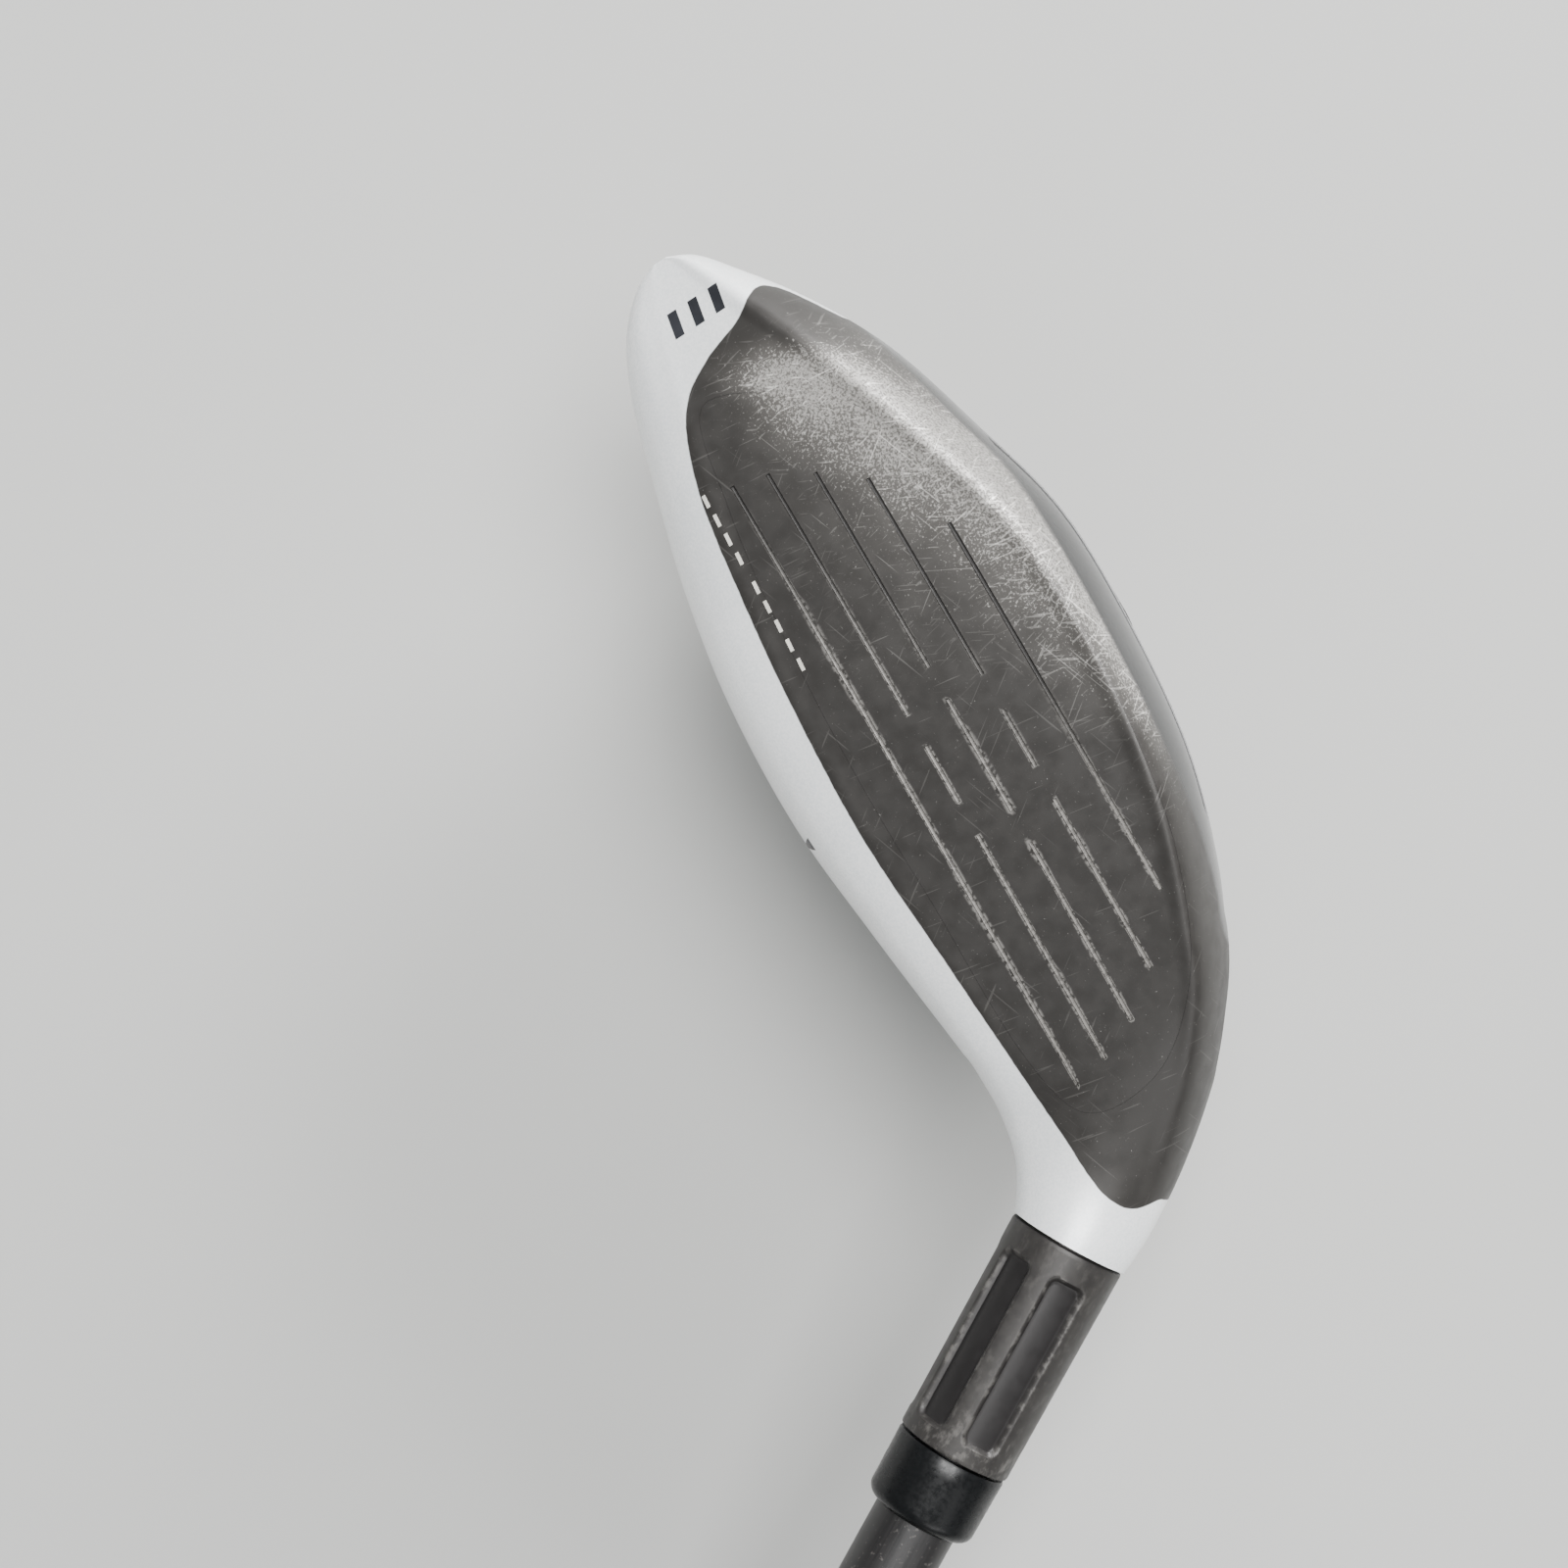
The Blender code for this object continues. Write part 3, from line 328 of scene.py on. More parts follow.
def shape(name, verts, faces):
    """A working object in millimetres, whose faces point outwards."""
    mesh = bpy.data.meshes.new(name)
    mesh.from_pydata([tuple(v) for v in verts], [], faces)
    mesh.validate()
    obj = bpy.data.objects.new(name, mesh)
    bpy.context.scene.collection.objects.link(obj)
    mesh.calc_loop_triangles()
    points = np.array([v.co for v in mesh.vertices])
    corners = np.array([t.vertices for t in mesh.loop_triangles])
    a, b, c = (points[corners[:, k]] for k in range(3))
    if np.einsum("ij,ij->i", a, np.cross(b, c)).sum() < 0:
        mesh.flip_normals()
    return obj


def skin(name, rings, looped=False):
    """Rings of points joined into one closed surface, with flat ends unless it is looped."""
    count = len(rings[0])
    verts = [point for ring in rings for point in ring]
    faces = []
    for i in range(len(rings) if looped else len(rings) - 1):
        j = (i + 1) % len(rings)
        for k in range(count):
            n = (k + 1) % count
            faces.append((i * count + k, i * count + n, j * count + n, j * count + k))
    if not looped:
        faces.append(tuple(range(count))[::-1])
        faces.append(tuple(range(len(verts) - count, len(verts))))
    return shape(name, verts, faces)


def lathe(name, profile, segments=96, looped=False):
    """A turned piece about Z. A solid one runs down the outer side, end to end."""
    rings = []
    for radius, height in profile:
        turns = [2 * math.pi * k / segments for k in range(segments)]
        rings.append([(radius * math.cos(turn), radius * math.sin(turn), height) for turn in turns])
    return skin(name, rings, looped)


def prism(name, outline, low, high, matrix=None):
    obj = skin(name, [[(x, y, z) for x, y in outline] for z in (low, high)])
    if matrix:
        obj.data.transform(matrix)
    return obj


def arc_block(name, inner, outer, width, half_deg, steps=24):
    rings = []
    for i in range(steps + 1):
        angle = math.radians(half_deg) * (2.0 * i / steps - 1.0)
        rings.append([
            (radius * math.sin(angle), side * width / 2, -radius * math.cos(angle))
            for radius, side in ((inner, -1), (outer, -1), (outer, 1), (inner, 1))
        ])
    return skin(name, rings)


def slot_outline(centre, size, steps=12):
    half, radius = (size[0] - size[1]) / 2, size[1] / 2
    outline = []
    for side in (0, 1):
        for i in range(steps + 1):
            turn = math.radians(-90 + 180 * i / steps) + side * math.pi
            x = centre[0] + (1 - 2 * side) * half + radius * math.cos(turn)
            outline.append((x, centre[1] + radius * math.sin(turn)))
    return outline


def settle_mesh(obj):
    """Applies the modifiers, so that the object holds a plain mesh."""
    graph = bpy.context.evaluated_depsgraph_get()
    mesh = bpy.data.meshes.new_from_object(obj.evaluated_get(graph))
    obj.modifiers.clear()
    obj.data = mesh
    return obj


def cut(obj, tools, operation="DIFFERENCE"):
    """Cuts with each tool in turn and removes the tools."""
    for tool in tools:
        modifier = obj.modifiers.new("Cut", "BOOLEAN")
        modifier.operation = operation
        modifier.solver = "EXACT"
        modifier.material_mode = "TRANSFER"
        modifier.object = tool
    settle_mesh(obj)
    for tool in tools:
        bpy.data.objects.remove(tool, do_unlink=True)
    return obj


def bevel(obj, width, segments=3, angle=35.0):
    modifier = obj.modifiers.new("Edges", "BEVEL")
    modifier.width = width
    modifier.segments = segments
    modifier.limit_method = "ANGLE"
    modifier.angle_limit = math.radians(angle)
    return settle_mesh(obj)


def points_of(obj):
    points = np.empty(len(obj.data.vertices) * 3, np.float32)
    obj.data.vertices.foreach_get("co", points)
    return points.reshape(-1, 3)


def store(obj, name, values):
    """Keeps one number for each vertex under a name that a material reads."""
    layer = obj.data.attributes.new(name, "FLOAT", "POINT")
    layer.data.foreach_set("value", np.ascontiguousarray(values, np.float32))


def finish_piece(obj, matrix, body, replaces=(), materials=(), sharp=35.0):
    """Stores each vertex's place in millimetres, then puts the piece where the frame says."""
    points = points_of(obj)
    layer = obj.data.attributes.new("place_mm", "FLOAT_VECTOR", "POINT")
    layer.data.foreach_set("vector", np.ascontiguousarray(points.ravel(), np.float32))
    obj.data.transform(matrix)
    obj.data.materials.clear()
    for material in materials:
        obj.data.materials.append(material)
    obj.data.shade_smooth()
    obj.data.set_sharp_from_angle(angle=math.radians(sharp))
    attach(obj, body)
    if replaces:
        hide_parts(*replaces)
    return obj


# ---------------------------------------------------------------- materials


def add_node(tree, kind, inputs=None, **settings):
    """A node with its settings, and each input either linked or set."""
    node = tree.nodes.new(kind)
    for key, value in settings.items():
        setattr(node, key, value)
    for socket, value in (inputs or {}).items():
        if isinstance(value, bpy.types.NodeSocket):
            tree.links.new(value, node.inputs[socket])
        else:
            node.inputs[socket].default_value = value
    return node


def new_finish(name, **values):
    """A material and its shader, with the values that are the same all over it."""
    made = bpy.data.materials.new(name)
    made.use_nodes = True
    tree = made.node_tree
    shader = tree.nodes["Principled BSDF"]
    for socket, value in values.items():
        shader.inputs[socket.replace("_", " ")].default_value = value
    place = add_node(tree, "ShaderNodeAttribute", attribute_name="place_mm").outputs["Vector"]
    return made, tree, shader, place


def stored(tree, name):
    return add_node(tree, "ShaderNodeAttribute", attribute_name=name).outputs["Fac"]


def moved(tree, place, scale=(1, 1, 1), turn=(0, 0, 0), shift=(0, 0, 0)):
    inputs = {"Vector": place, "Scale": scale, "Rotation": turn, "Location": shift}
    return add_node(tree, "ShaderNodeMapping", inputs).outputs[0]


def noise(tree, place, size_mm, detail=2.0, roughness=0.5):
    """Noise whose features are about this many millimetres across."""
    inputs = {"Vector": place, "Scale": 1.0 / size_mm, "Detail": detail, "Roughness": roughness}
    return add_node(tree, "ShaderNodeTexNoise", inputs).outputs[0]


def between(tree, value, low, high, to_low=0.0, to_high=1.0):
    inputs = {0: value, 1: low, 2: high, 3: to_low, 4: to_high}
    return add_node(tree, "ShaderNodeMapRange", inputs, interpolation_type="SMOOTHSTEP").outputs[0]


def maths(tree, operation, *values):
    return add_node(tree, "ShaderNodeMath", dict(enumerate(values)), operation=operation).outputs[0]


def blend_colours(tree, share, first, second):
    def whole(value):
        return value if isinstance(value, bpy.types.NodeSocket) else (*value, 1.0)

    inputs = {0: share, 6: whole(first), 7: whole(second)}
    return add_node(tree, "ShaderNodeMix", inputs, data_type="RGBA").outputs[2]


def blend_values(tree, share, first, second):
    return add_node(tree, "ShaderNodeMix", {0: share, 2: first, 3: second}, data_type="FLOAT").outputs[0]


def times(tree, first, second):
    return maths(tree, "MULTIPLY", first, second)


def two_tone(tree, field, dark, light):
    """A soft cloud of two colours that are close to each other."""
    return blend_colours(tree, between(tree, field, 0.3, 0.7), srgb(dark), srgb(light))


def link(tree, socket, shader, name):
    tree.links.new(socket, shader.inputs[name])


def bump(tree, shader, height, distance_mm, strength=1.0):
    inputs = {"Height": height, "Distance": distance_mm * MM, "Strength": strength}
    link(tree, add_node(tree, "ShaderNodeBump", inputs).outputs[0], shader, "Normal")


def dress(tree, shader, colour, rough, height, distance_mm, strength):
    """Links a finish's colour, roughness and relief."""
    link(tree, colour, shader, "Base Color")
    link(tree, rough, shader, "Roughness")
    bump(tree, shader, height, distance_mm, strength)


def scratches(tree, place, angle, length, width, share, shift):
    """Straight scratches that run one way over the face, with about this length and width."""
    turned = moved(tree, place, turn=(0, angle, 0), shift=shift)
    field = noise(tree, moved(tree, turned, scale=(1 / length, 0.1, 1 / width)), 1.0, detail=0.0)
    return between(tree, field, share, share + 0.05)


def either(tree, *values):
    found = values[0]
    for value in values[1:]:
        found = maths(tree, "MAXIMUM", found, value)
    return found


def coated_face(tree, place, colours):
    """Dark satin coating on steel, with ball wear and a painted sheen.

    It gives a charcoal surface with short pale scratches everywhere, a
    speckle of bare metal where balls and turf have rubbed it, and a lighter
    rubbed tone that is partly real wear and partly a painted sheen.
    """
    wear_and_sheen = stored(tree, "wear_and_sheen")
    long_strokes = either(
        tree,
        scratches(tree, place, 0.35, 8.0, 0.22, 0.78, (3, 0, 7)),
        scratches(tree, place, -0.9, 6.0, 0.20, 0.78, (31, 0, 5)),
        scratches(tree, place, 1.45, 5.0, 0.20, 0.78, (11, 0, 43)),
    )
    short_strokes = either(
        tree,
        scratches(tree, place, 1.1, 2.6, 0.22, 0.73, (17, 0, 3)),
        scratches(tree, place, -1.3, 1.8, 0.22, 0.73, (5, 0, 29)),
    )
    speck = noise(tree, place, 0.26, detail=3.0, roughness=0.7)
    patch = noise(tree, place, 7.0, detail=2.0)
    # this mask mixes real ball wear with painted sheen and the painted highlight on the leading-edge band
    heavy_wear_and_sheen = between(tree, maths(tree, "ADD", wear_and_sheen, times(tree, patch, 0.4)), 0.25, 1.25)
    specks = between(tree, maths(tree, "ADD", speck, times(tree, heavy_wear_and_sheen, 0.26)), 0.66, 0.80)
    worn = times(tree, heavy_wear_and_sheen, 0.5)
    strokes = maths(
        tree, "ADD",
        times(tree, long_strokes, maths(tree, "ADD", 0.05, worn)),
        times(tree, short_strokes, worn),
    )
    bare = maths(tree, "MINIMUM", maths(tree, "ADD", strokes, times(tree, specks, 0.42)), 1.0)
    cloud = noise(tree, place, 2.2, detail=4.0)
    coating = two_tone(tree, cloud, "#2D2B29", "#312F2D")
    # painted sheen: the lighter rubbed colour stands partly for real rubbing and partly for light glancing
    # off the toe and lower face
    rubbed = blend_colours(tree, times(tree, heavy_wear_and_sheen, 0.75), coating, colours.rubbed)
    colour = blend_colours(tree, bare, rubbed, colours.bare)
    rough = blend_values(tree, bare, between(tree, cloud, 0.3, 0.7, 0.40, 0.50), 0.30)
    return colour, rough, maths(tree, "SUBTRACT", 0.0, bare)


def metallic_paint(tree, place, colours):
    """Satin silver-white metallic paint: fine flake that shows as a slight grain."""
    flake = noise(tree, place, 0.30, detail=2.0, roughness=0.7)
    cloud = noise(tree, place, 14.0)
    base = blend_colours(tree, between(tree, flake, 0.35, 0.65), colours.silver_shade, colours.silver)
    base = blend_colours(tree, between(tree, cloud, 0.4, 0.7, 0.0, 0.12), base, srgb("#B9C0C4"))
    return base, between(tree, flake, 0.3, 0.7, 0.40, 0.32), flake


def head_finish(colours):
    """Painted steel casting: silver above, dark coating round the face, gloss black on the sole."""
    made, tree, shader, place = new_finish("painted_head", Coat_Roughness=0.12)
    silver, silver_rough, flake = metallic_paint(tree, place, colours)
    coat, coat_rough, coat_height = coated_face(tree, place, colours)
    gloss = between(tree, stored(tree, "gloss"), 0.35, 0.65)
    lower = blend_colours(tree, gloss, coat, two_tone(tree, noise(tree, place, 5.0), "#0B0B0C", "#141415"))
    lower_rough = blend_values(tree, gloss, coat_rough, 0.16)
    ragged = between(tree, noise(tree, place, 1.2), 0, 1, -0.05, 0.05)
    dark = between(tree, maths(tree, "ADD", stored(tree, "paint_side"), ragged), -0.07, 0.07)
    link(tree, blend_values(tree, dark, 0.25, blend_values(tree, gloss, 0.25, 0.0)), shader, "Metallic")
    link(tree, blend_values(tree, dark, 0.35, 0.0), shader, "Coat Weight")
    height = blend_values(tree, dark, times(tree, flake, 0.25), coat_height)
    colour = blend_colours(tree, dark, silver, lower)
    dress(tree, shader, colour, blend_values(tree, dark, silver_rough, lower_rough), height, 0.03, 0.5)
    return made


def face_finish(colours):
    """Forged steel face with the dark coating, and pale worn edges on its score lines."""
    made, tree, shader, place = new_finish("coated_face", Metallic=0.25, Coat_Weight=0.1, Coat_Roughness=0.25)
    colour, rough, height = coated_face(tree, place, colours)
    line, score_wear = stored(tree, "score"), stored(tree, "score_wear")
    lip = times(tree, between(tree, line, 0.42, 0.56), between(tree, line, 0.60, 0.80, 1.0, 0.0))
    torn = between(tree, noise(tree, place, 0.5, detail=3.0), 0.38, 0.55)
    lip = times(tree, lip, times(tree, torn, score_wear))
    rubbed = times(tree, score_wear, between(tree, torn, 0.2, 0.8, 0.6, 1.0))
    groove = blend_colours(tree, rubbed, srgb("#1C1A19"), srgb("#7E7B77"))
    colour = blend_colours(tree, between(tree, line, 0.80, 0.95), colour, groove)
    colour = blend_colours(tree, times(tree, lip, 0.6), colour, srgb("#8F8C88"))
    dress(tree, shader, colour, rough, height, 0.03, 0.6)
    return made


def raw_steel_finish():
    """Machined stainless steel: fine turning marks and a clean bright grey."""
    made, tree, shader, place = new_finish("machined_steel", Metallic=1.0)
    marks = noise(tree, moved(tree, place, scale=(1, 1, 9)), 0.9, detail=2.0)
    colour = blend_colours(tree, marks, srgb("#8E8E8D"), srgb("#B4B4B3"))
    dress(tree, shader, colour, between(tree, marks, 0.2, 0.8, 0.26, 0.40), marks, 0.02, 0.3)
    return made


def anodised_finish():
    """Dark grey anodised aluminium: matt, rubbed pale on its lands' edges and its upper rim."""
    made, tree, shader, place = new_finish("grey_anodised", Metallic=0.3)
    cloud = noise(tree, place, 1.6, detail=4.0, roughness=0.6)
    streak = noise(tree, moved(tree, place, scale=(1, 1, 0.6)), 1.1, detail=5.0, roughness=0.65)
    land = two_tone(tree, cloud, "#2B2928", "#302E2C")
    colour = blend_colours(tree, stored(tree, "pocket"), land, srgb("#1D1B1B"))
    rub = times(tree, stored(tree, "rub"), between(tree, streak, 0.48, 0.70))
    colour = blend_colours(tree, times(tree, rub, 0.40), colour, srgb("#7D7A76"))
    chip = times(tree, stored(tree, "pocket_rim"), between(tree, cloud, 0.50, 0.60))
    colour = blend_colours(tree, times(tree, chip, 0.22), colour, srgb("#8F8C88"))
    dress(tree, shader, colour, between(tree, cloud, 0.25, 0.75, 0.38, 0.52), cloud, 0.02, 0.4)
    return made


def moulded_finish(name, dark, light, rough, grain_mm, depth_mm=0.02):
    """Moulded plastic or rubber: one colour with a slight cloud, and a fine grain from its mould."""
    made, tree, shader, place = new_finish(name, Specular_IOR_Level=0.3)
    cloud = noise(tree, place, 4.0, detail=3.0)
    grain = noise(tree, place, grain_mm, detail=2.0)
    uneven = between(tree, grain, 0.3, 0.7, rough - 0.06, rough + 0.06)
    dress(tree, shader, two_tone(tree, cloud, dark, light), uneven, grain, depth_mm, 0.6)
    return made


def graphite_finish():
    """Lacquered graphite tube: near black, with long faint fibre streaks and a little pale dust."""
    made, tree, shader, place = new_finish("graphite_lacquer", Coat_Weight=0.15, Coat_Roughness=0.35)
    fibre = noise(tree, moved(tree, place, scale=(4, 4, 0.12)), 1.0, detail=4.0, roughness=0.6)
    dust = noise(tree, place, 0.5, detail=2.0)
    colour = two_tone(tree, fibre, "#121111", "#1D1B1B")
    colour = blend_colours(tree, between(tree, dust, 0.62, 0.72, 0.0, 0.25), colour, srgb("#77736F"))
    dress(tree, shader, colour, between(tree, fibre, 0.3, 0.7, 0.40, 0.50), fibre, 0.01, 0.3)
    return made


def floor_finish():
    """Plain pale floor paint with a very slight mottle."""
    made = bpy.data.materials.new("pale_floor")
    made.use_nodes = True
    tree = made.node_tree
    shader = tree.nodes["Principled BSDF"]
    place = add_node(tree, "ShaderNodeTexCoord").outputs["Object"]
    mottle = add_node(tree, "ShaderNodeTexNoise", {"Vector": place, "Scale": 12.0}).outputs[0]
    link(tree, blend_colours(tree, mottle, srgb("#A9A9A7"), srgb("#B0B0AE")), shader, "Base Color")
    shader.inputs["Roughness"].default_value = 0.85
    return made


# ---------------------------------------------------------------- geometry nodes


def start_tree(name, inputs):
    tree = bpy.data.node_groups.new(name, "GeometryNodeTree")
    tree.interface.new_socket("Geometry", in_out="INPUT", socket_type="NodeSocketGeometry")
    for label, kind in inputs:
        tree.interface.new_socket(label, in_out="INPUT", socket_type=kind)
    tree.interface.new_socket("Geometry", in_out="OUTPUT", socket_type="NodeSocketGeometry")
    entry = tree.nodes.new("NodeGroupInput")
    return tree, entry


def end_tree(tree, entry, geometry):
    real = add_node(tree, "GeometryNodeRealizeInstances", {"Geometry": geometry})
    coloured = add_node(
        tree, "GeometryNodeSetMaterial", {"Geometry": real.outputs[0], "Material": entry.outputs["Material"]}
    )
    leave = tree.nodes.new("NodeGroupOutput")
    tree.links.new(coloured.outputs[0], leave.inputs[0])
    return tree


def bars_along_edges():
    """Round bars that follow each run of edges."""
    sockets = (("Radius", "NodeSocketFloat"), ("Material", "NodeSocketMaterial"))
    tree, entry = start_tree("bars_along_edges", sockets)
    curve = add_node(tree, "GeometryNodeMeshToCurve", {"Mesh": entry.outputs["Geometry"]})
    inputs = {"Resolution": 12, "Radius": entry.outputs["Radius"]}
    ring = add_node(tree, "GeometryNodeCurvePrimitiveCircle", inputs)
    inputs = {"Curve": curve.outputs[0], "Profile Curve": ring.outputs[0], "Fill Caps": True}
    bars = add_node(tree, "GeometryNodeCurveToMesh", inputs)
    return end_tree(tree, entry, bars.outputs[0])


def pips_on_points():
    """One low pip on each point, turned to the point's own outward direction."""
    sockets = (("Size", "NodeSocketVector"), ("Material", "NodeSocketMaterial"))
    tree, entry = start_tree("pips_on_points", sockets)
    out = add_node(tree, "GeometryNodeInputNamedAttribute", {"Name": "out"}, data_type="FLOAT_VECTOR")
    turn = add_node(tree, "FunctionNodeAlignRotationToVector", {"Vector": out.outputs[0]}, axis="Z")
    pip = add_node(tree, "GeometryNodeMeshUVSphere", {"Segments": 6, "Rings": 4, "Radius": 1.0})
    inputs = {
        "Points": entry.outputs["Geometry"],
        "Instance": pip.outputs["Mesh"],
        "Rotation": turn.outputs[0],
        "Scale": entry.outputs["Size"],
    }
    placed = add_node(tree, "GeometryNodeInstanceOnPoints", inputs)
    return end_tree(tree, entry, placed.outputs[0])


def run_tree(obj, tree, **values):
    modifier = obj.modifiers.new(tree.name, "NODES")
    modifier.node_group = tree
    for item in tree.interface.items_tree:
        if item.in_out == "INPUT" and item.name in values:
            modifier[item.identifier] = values[item.name]
    return settle_mesh(obj)


def edge_runs(name, runs):
    """Runs of points joined by edges."""
    verts, edges = [], []
    for run in runs:
        edges += [(len(verts) + i, len(verts) + i + 1) for i in range(len(run) - 1)]
        verts += run
    mesh = bpy.data.meshes.new(name)
    mesh.from_pydata(verts, edges, [])
    obj = bpy.data.objects.new(name, mesh)
    bpy.context.scene.collection.objects.link(obj)
    return obj


# ---------------------------------------------------------------- the head


def distance_inside(points, outline):
    """Signed distance of each (x, z) point to a closed outline, positive inside."""
    best = np.full(len(points), 1e9)
    inside = np.zeros(len(points), bool)
    for (ax, az), (bx, bz) in zip(outline, outline[1:] + outline[:1]):
        dx, dz = bx - ax, bz - az
        px, pz = points[:, 0] - ax, points[:, 1] - az
        t = np.clip((px * dx + pz * dz) / (dx * dx + dz * dz + 1e-12), 0, 1)
        best = np.minimum(best, np.hypot(px - t * dx, pz - t * dz))
        crosses = ((az > points[:, 1]) != (bz > points[:, 1])) & (px < pz * dx / (dz + 1e-12))
        inside ^= crosses
    return np.where(inside, best, -best)


def paint_side(points):
    """How far each point is inside the dark area, in millimetres."""
    outline = curve_through(PAINT_EDGE, 8, closed=False) + list(PAINT_BELOW)
    front = distance_inside(points[:, [0, 2]], outline)
    behind_face = points[:, 1] - face_depth(points[:, 0], points[:, 2])
    rows = head_rows(1)
    rear = np.interp(points[:, 0], [row[0] for row in rows], [row[5] for row in rows])
    return np.minimum(front, np.maximum(FRONT_BAND - behind_face, rear - points[:, 2]))


def downward_share(obj):
    """How far the whole skin faces down near a point, so that openings cut later don't change it."""
    shares = [min(max((-0.82 - vertex.normal.z) / 0.1, 0.0), 1.0) for vertex in obj.data.vertices]
    tree = KDTree(len(shares))
    for index, vertex in enumerate(obj.data.vertices):
        tree.insert(vertex.co, index)
    tree.balance()

    def share(point):
        near = tree.find_n(point, 4)
        weights = [1.0 / (distance + 0.01) for _, _, distance in near]
        return sum(shares[found[1]] * weight for found, weight in zip(near, weights)) / sum(weights)

    return share


def ball_wear_and_sheen(points):
    """Where balls and turf have rubbed the coating, with painted sheen and painted highlight mixed in: the
    toe half, the lower face and the leading edge.
    """
    x, z = points[:, 0], points[:, 2]
    # the toe half and the lower face are lightened partly by real rubbing and partly as painted sheen
    toe_half = np.clip((x + 10) / 32, 0, 1) * np.clip((50 - x) / 10, 0, 1) * np.clip((7 - z) / 14, 0, 1)
    seam = curve_through(FACE_SEAM, 6, closed=True)
    past_seam = -distance_inside(points[:, [0, 2]], seam)
    lower = np.clip((x + 26) / 26, 0, 1) * np.clip((3 - z) / 8, 0, 1)
    inner = np.clip(1 + past_seam / 9, 0, 1) * (past_seam < 0)
    # painted highlight: the band just past the seam, on the leading edge's rounding, is lightened where light
    # glances off it, on top of real rubbing
    outer = np.clip(1 - np.abs(past_seam - 1.5) / 5.0, 0, 1) * (past_seam >= 0)
    return np.clip(0.45 * toe_half + lower * (0.45 * inner + 0.85 * outer), 0, 1)


def bolt_port_tools():
    bore = lathe("bore", [
        (0.01, 5), (HOSEL_BORE_RADIUS, 5), (HOSEL_BORE_RADIUS, -HOSEL_BORE_DEPTH),
        (SPLINE_BORE_RADIUS, -HOSEL_BORE_DEPTH), (SPLINE_BORE_RADIUS, SEAT_TOP), (0.01, SEAT_TOP),
    ])
    hole = lathe("bolt_hole", [(0.01, 0), (2.85, 0), (2.85, -47), (0.01, -47)], 48)
    port = lathe("port", [(0.01, SEAT_LOW), (PORT_RADIUS, SEAT_LOW), (PORT_RADIUS, -60), (0.01, -60)])
    to_club = CLUB.inverted() @ AXIS
    for tool in (bore, hole, port):
        tool.data.transform(to_club)
    return [bore, hole, port]


def track_tools():
    lip = TRACK_RADIUS - RECESS_DEPTH - LIP_THICK
    tools = [
        arc_block("recess", TRACK_RADIUS - RECESS_DEPTH, TRACK_RADIUS + 6, RECESS_WIDTH, TRACK_HALF_DEG),
        arc_block("slot", lip - 0.5, TRACK_RADIUS - RECESS_DEPTH + 0.5, LIP_SLOT_WIDTH, TRACK_HALF_DEG - 1),
        arc_block("chamber", lip - CHAMBER_DEPTH, lip, CHAMBER_WIDTH, TRACK_HALF_DEG - 0.5),
    ]
    to_club = CLUB.inverted() @ TRACK
    for tool in tools:
        tool.data.transform(to_club)
    return tools


def face_matrix():
    up = Vector((0.0, math.sin(LOFT), math.cos(LOFT)))
    out = Vector((0.0, -math.cos(LOFT), math.sin(LOFT)))
    return Matrix((Vector((1.0, 0.0, 0.0)), up, out)).transposed().to_4x4()


def pad_height():
    """The pad's outer face, from the mount on it."""
    return (CLUB.inverted() @ Vector(MOUNTS["sole_rest"]["pos_m"])).z


class CLUB_OT_head(bpy.types.Operator):
    """Build the head's painted casting"""

    bl_idname = "club.head"
    bl_label = "Head"

    def execute(self, context):
        sizes = context.scene.club_sizes
        head = skin("head_casting", head_rings(sizes.head_steps, 8))
        uncut = downward_share(head)
        steel = raw_steel_finish()
        tools = bolt_port_tools() + track_tools()
        seam = curve_through(FACE_SEAM, 12, closed=True)
        face_opening = prism("face_opening", seam, -FACE_REACH - 0.05, 12.0, face_matrix())
        slot = prism("slot_recess", slot_outline(SLOT_CENTRE, SLOT_SIZE), SOLE_CUT_LOW, pad_height() + 4.6)
        around = slot_outline(PAD_CENTRE, [side + 2 * SEAM_GAP for side in PAD_SIZE])
        pad = prism("pad_recess", around, SOLE_CUT_LOW, pad_height() + PAD_THICK + SEAM_GAP)
        tools += [face_opening, slot, pad]
        for tool in tools:
            tool.data.materials.append(steel)
        head.data.materials.append(head_finish(context.scene.club_colours))
        cut(head, tools)
        points = points_of(head)
        store(head, "paint_side", paint_side(points))
        # this mask holds real rubbing mixed with painted sheen and a painted highlight on the leading edge
        store(head, "wear_and_sheen", ball_wear_and_sheen(points))
        store(head, "gloss", np.array([uncut(point) for point in points]))
        kept = list(head.data.materials)
        finish_piece(head, CLUB, "head", ("head_body", "crown_plate"), kept, 28.0)
        return {"FINISHED"}


def score_strokes():
    return [(height, low, high) for height, strokes in SCORE_LINES for low, high in strokes]


def score_wear(points, radius):
    """For each point, how near it is to a score line, and how worn the line is there."""
    closeness = np.zeros(len(points))
    worn = np.zeros(len(points))
    x, z = points[:, 0], points[:, 2]
    under = points[:, 1] - face_depth(x, z) > 0.12
    heel_wear = np.clip((12 - x + 1.8 * z) / 22 + 0.55, 0.05, 1)
    for height, low, high in score_strokes():
        away = np.hypot(np.maximum(0, np.maximum(low - x, x - high)), z - height)
        near = np.clip(1 - (away - radius) / 0.3, 0, 1) * 0.6
        near = np.where(under & (away < radius + 0.05), 1.0, near)
        worn = np.where(near > closeness, heel_wear, worn)
        closeness = np.maximum(closeness, near)
    return closeness, worn


